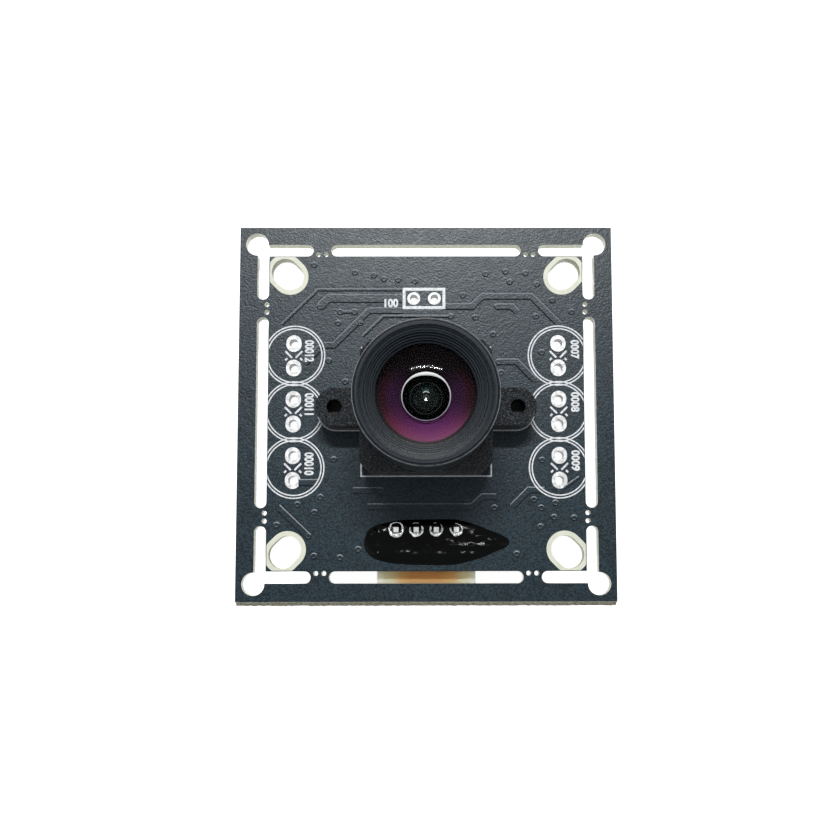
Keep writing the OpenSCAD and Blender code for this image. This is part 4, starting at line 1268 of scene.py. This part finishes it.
def buildSnappedEdge():
    # torn glass cloth left along the lower edge where the board was broken out of its panel
    s = snappedEdge
    start, end = boardLow[0] + s["endIn"], boardHigh[0] - s["endIn"]
    verts = []
    for i in range(s["steps"] + 1):
        x = start + (end - start) * i / s["steps"]
        for k, (out, z) in enumerate(s["section"]):
            tear = noise.noise(Vector((x * 2.3, k * 0.7, 4.0))) * s["tear"] if out > s["tornFrom"] else 0.0
            verts.append((x, boardLow[1] + s["in"] - s["reach"] * out + tear, z + tear * s["tearUp"]))
    count = len(s["section"])
    faces = ringFaces(s["steps"] + 1, count, False)
    faces += [list(range(count)), [s["steps"] * count + k for k in range(count)]]
    finish = plainFinish("torn laminate", tornLaminate)
    makePiece("snappedEdge", verts, faces, finish, "board", smooth=False)


buildSnappedEdge()
print("snapped edge built")


stageSet = {"floorHalf": 600, "under": 0.02, "glow": 0.9, "shade": (0.86, 0.86, 0.8471)}


def seenDirectly(tree):
    # 1 for rays from the camera and for rays that shiny and clear surfaces send on
    path = tree.nodes.new("ShaderNodeLightPath")
    value = path.outputs["Is Camera Ray"]
    for other in ("Is Glossy Ray", "Is Transmission Ray"):
        larger = tree.nodes.new("ShaderNodeMath")
        larger.operation = "MAXIMUM"
        tree.links.new(value, larger.inputs[0])
        tree.links.new(path.outputs[other], larger.inputs[1])
        value = larger.outputs[0]
    return value


def buildFloor():
    # a white floor that can't be seen from below
    s = stageSet
    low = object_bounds()[0][2] / mm - s["under"]
    half = s["floorHalf"]
    mesh = bpy.data.meshes.new("floor")
    corners = [(-half, -half, low), (half, -half, low), (half, half, low), (-half, half, low)]
    mesh.from_pydata([[c * mm for c in v] for v in corners], [], [(0, 1, 2, 3)])
    floor = bpy.data.objects.new("floor", mesh)
    bpy.context.scene.collection.objects.link(floor)
    material = bpy.data.materials.new("white floor")
    material.use_nodes = True
    tree = material.node_tree
    tree.nodes.clear()
    add = tree.nodes.new
    link = tree.links.new
    output = add("ShaderNodeOutputMaterial")
    diffuse = add("ShaderNodeBsdfDiffuse")
    diffuse.inputs["Color"].default_value = (*s["shade"], 1)
    glow = add("ShaderNodeEmission")
    level = add("ShaderNodeMath")
    level.operation = "MULTIPLY"
    level.inputs[1].default_value = s["glow"]
    link(seenDirectly(tree), level.inputs[0])
    link(level.outputs[0], glow.inputs["Strength"])
    both = add("ShaderNodeAddShader")
    link(diffuse.outputs[0], both.inputs[0])
    link(glow.outputs[0], both.inputs[1])
    under = add("ShaderNodeMixShader")
    clear = add("ShaderNodeBsdfTransparent")
    side = add("ShaderNodeNewGeometry")
    link(side.outputs["Backfacing"], under.inputs[0])
    link(both.outputs[0], under.inputs[1])
    link(clear.outputs[0], under.inputs[2])
    link(under.outputs[0], output.inputs["Surface"])
    mesh.materials.append(material)


lightSet = {
    "distance": 420,
    "power": 1.45,
    "tilt": 23.3,           # of the key lamps from straight above, in degrees
    "spread": 23.5,         # of the key lamps to each side of the top
    "count": 7,
    "size": (20.5, 9.0),
    # side lamps: azimuth, elevation, width, power
    "softLeft": (200, 40, 220, 0.16),
    "softRight": (-20, 40, 220, 0.14),
}
worldSet = {"ambient": 0.11, "colour": (0.93, 0.97, 1.0)}


def addLamp(name, azimuth, elevation, size, power):
    data = bpy.data.lights.new(name, "AREA")
    data.shape = "RECTANGLE"
    data.energy = power
    data.size, data.size_y = size[0] * mm, size[1] * mm
    lamp = bpy.data.objects.new(name, data)
    a, e = math.radians(azimuth), math.radians(elevation)
    away = Vector((math.cos(a) * math.cos(e), math.sin(a) * math.cos(e), math.sin(e)))
    lamp.location = away * lightSet["distance"] * mm
    lamp.rotation_euler = away.to_track_quat("Z", "Y").to_euler()
    bpy.context.scene.collection.objects.link(lamp)


def buildLights():
    s = lightSet
    for i in range(s["count"]):
        azimuth = 90 + s["spread"] * ((2 * i + 1) / s["count"] - 1)
        addLamp("key%d" % (i + 1), azimuth, 90 - s["tilt"], s["size"], s["power"] / s["count"])
    for name in ("softLeft", "softRight"):
        azimuth, elevation, width, power = s[name]
        addLamp(name, azimuth, elevation, (width, width), power)
    world = bpy.data.worlds.new("studio")
    bpy.context.scene.world = world
    world.use_nodes = True
    tree = world.node_tree
    tree.nodes.clear()
    output = tree.nodes.new("ShaderNodeOutputWorld")
    backdrop = tree.nodes.new("ShaderNodeBackground")
    backdrop.inputs["Strength"].default_value = 1.0
    room = tree.nodes.new("ShaderNodeBackground")
    room.inputs["Color"].default_value = (*worldSet["colour"], 1)
    room.inputs["Strength"].default_value = worldSet["ambient"]
    blend = tree.nodes.new("ShaderNodeMixShader")
    tree.links.new(seenDirectly(tree), blend.inputs[0])
    tree.links.new(room.outputs[0], blend.inputs[1])
    tree.links.new(backdrop.outputs[0], blend.inputs[2])
    tree.links.new(blend.outputs[0], output.inputs["Surface"])


cameraSet = {
    "sensor": 36,
    "nearest": 5,
    "place": (0.0, -15.5, 137.4),
    "lean": (6.895, -0.345, -0.111),
    "focal": 58.44,
    "shift": (-0.0210, -0.0174),
}


def buildCamera():
    s = cameraSet
    data = bpy.data.cameras.new("camera")
    data.sensor_width = s["sensor"]
    data.lens = s["focal"]
    data.shift_x, data.shift_y = s["shift"]
    data.clip_start = s["nearest"] * mm
    camera = bpy.data.objects.new("camera", data)
    camera.location = [c * mm for c in s["place"]]
    camera.rotation_euler = [math.radians(c) for c in s["lean"]]
    bpy.context.scene.collection.objects.link(camera)
    bpy.context.scene.camera = camera


buildFloor()
buildLights()
buildCamera()
bpy.context.scene.view_settings.view_transform = "Standard"
print("floor, lights and camera placed")
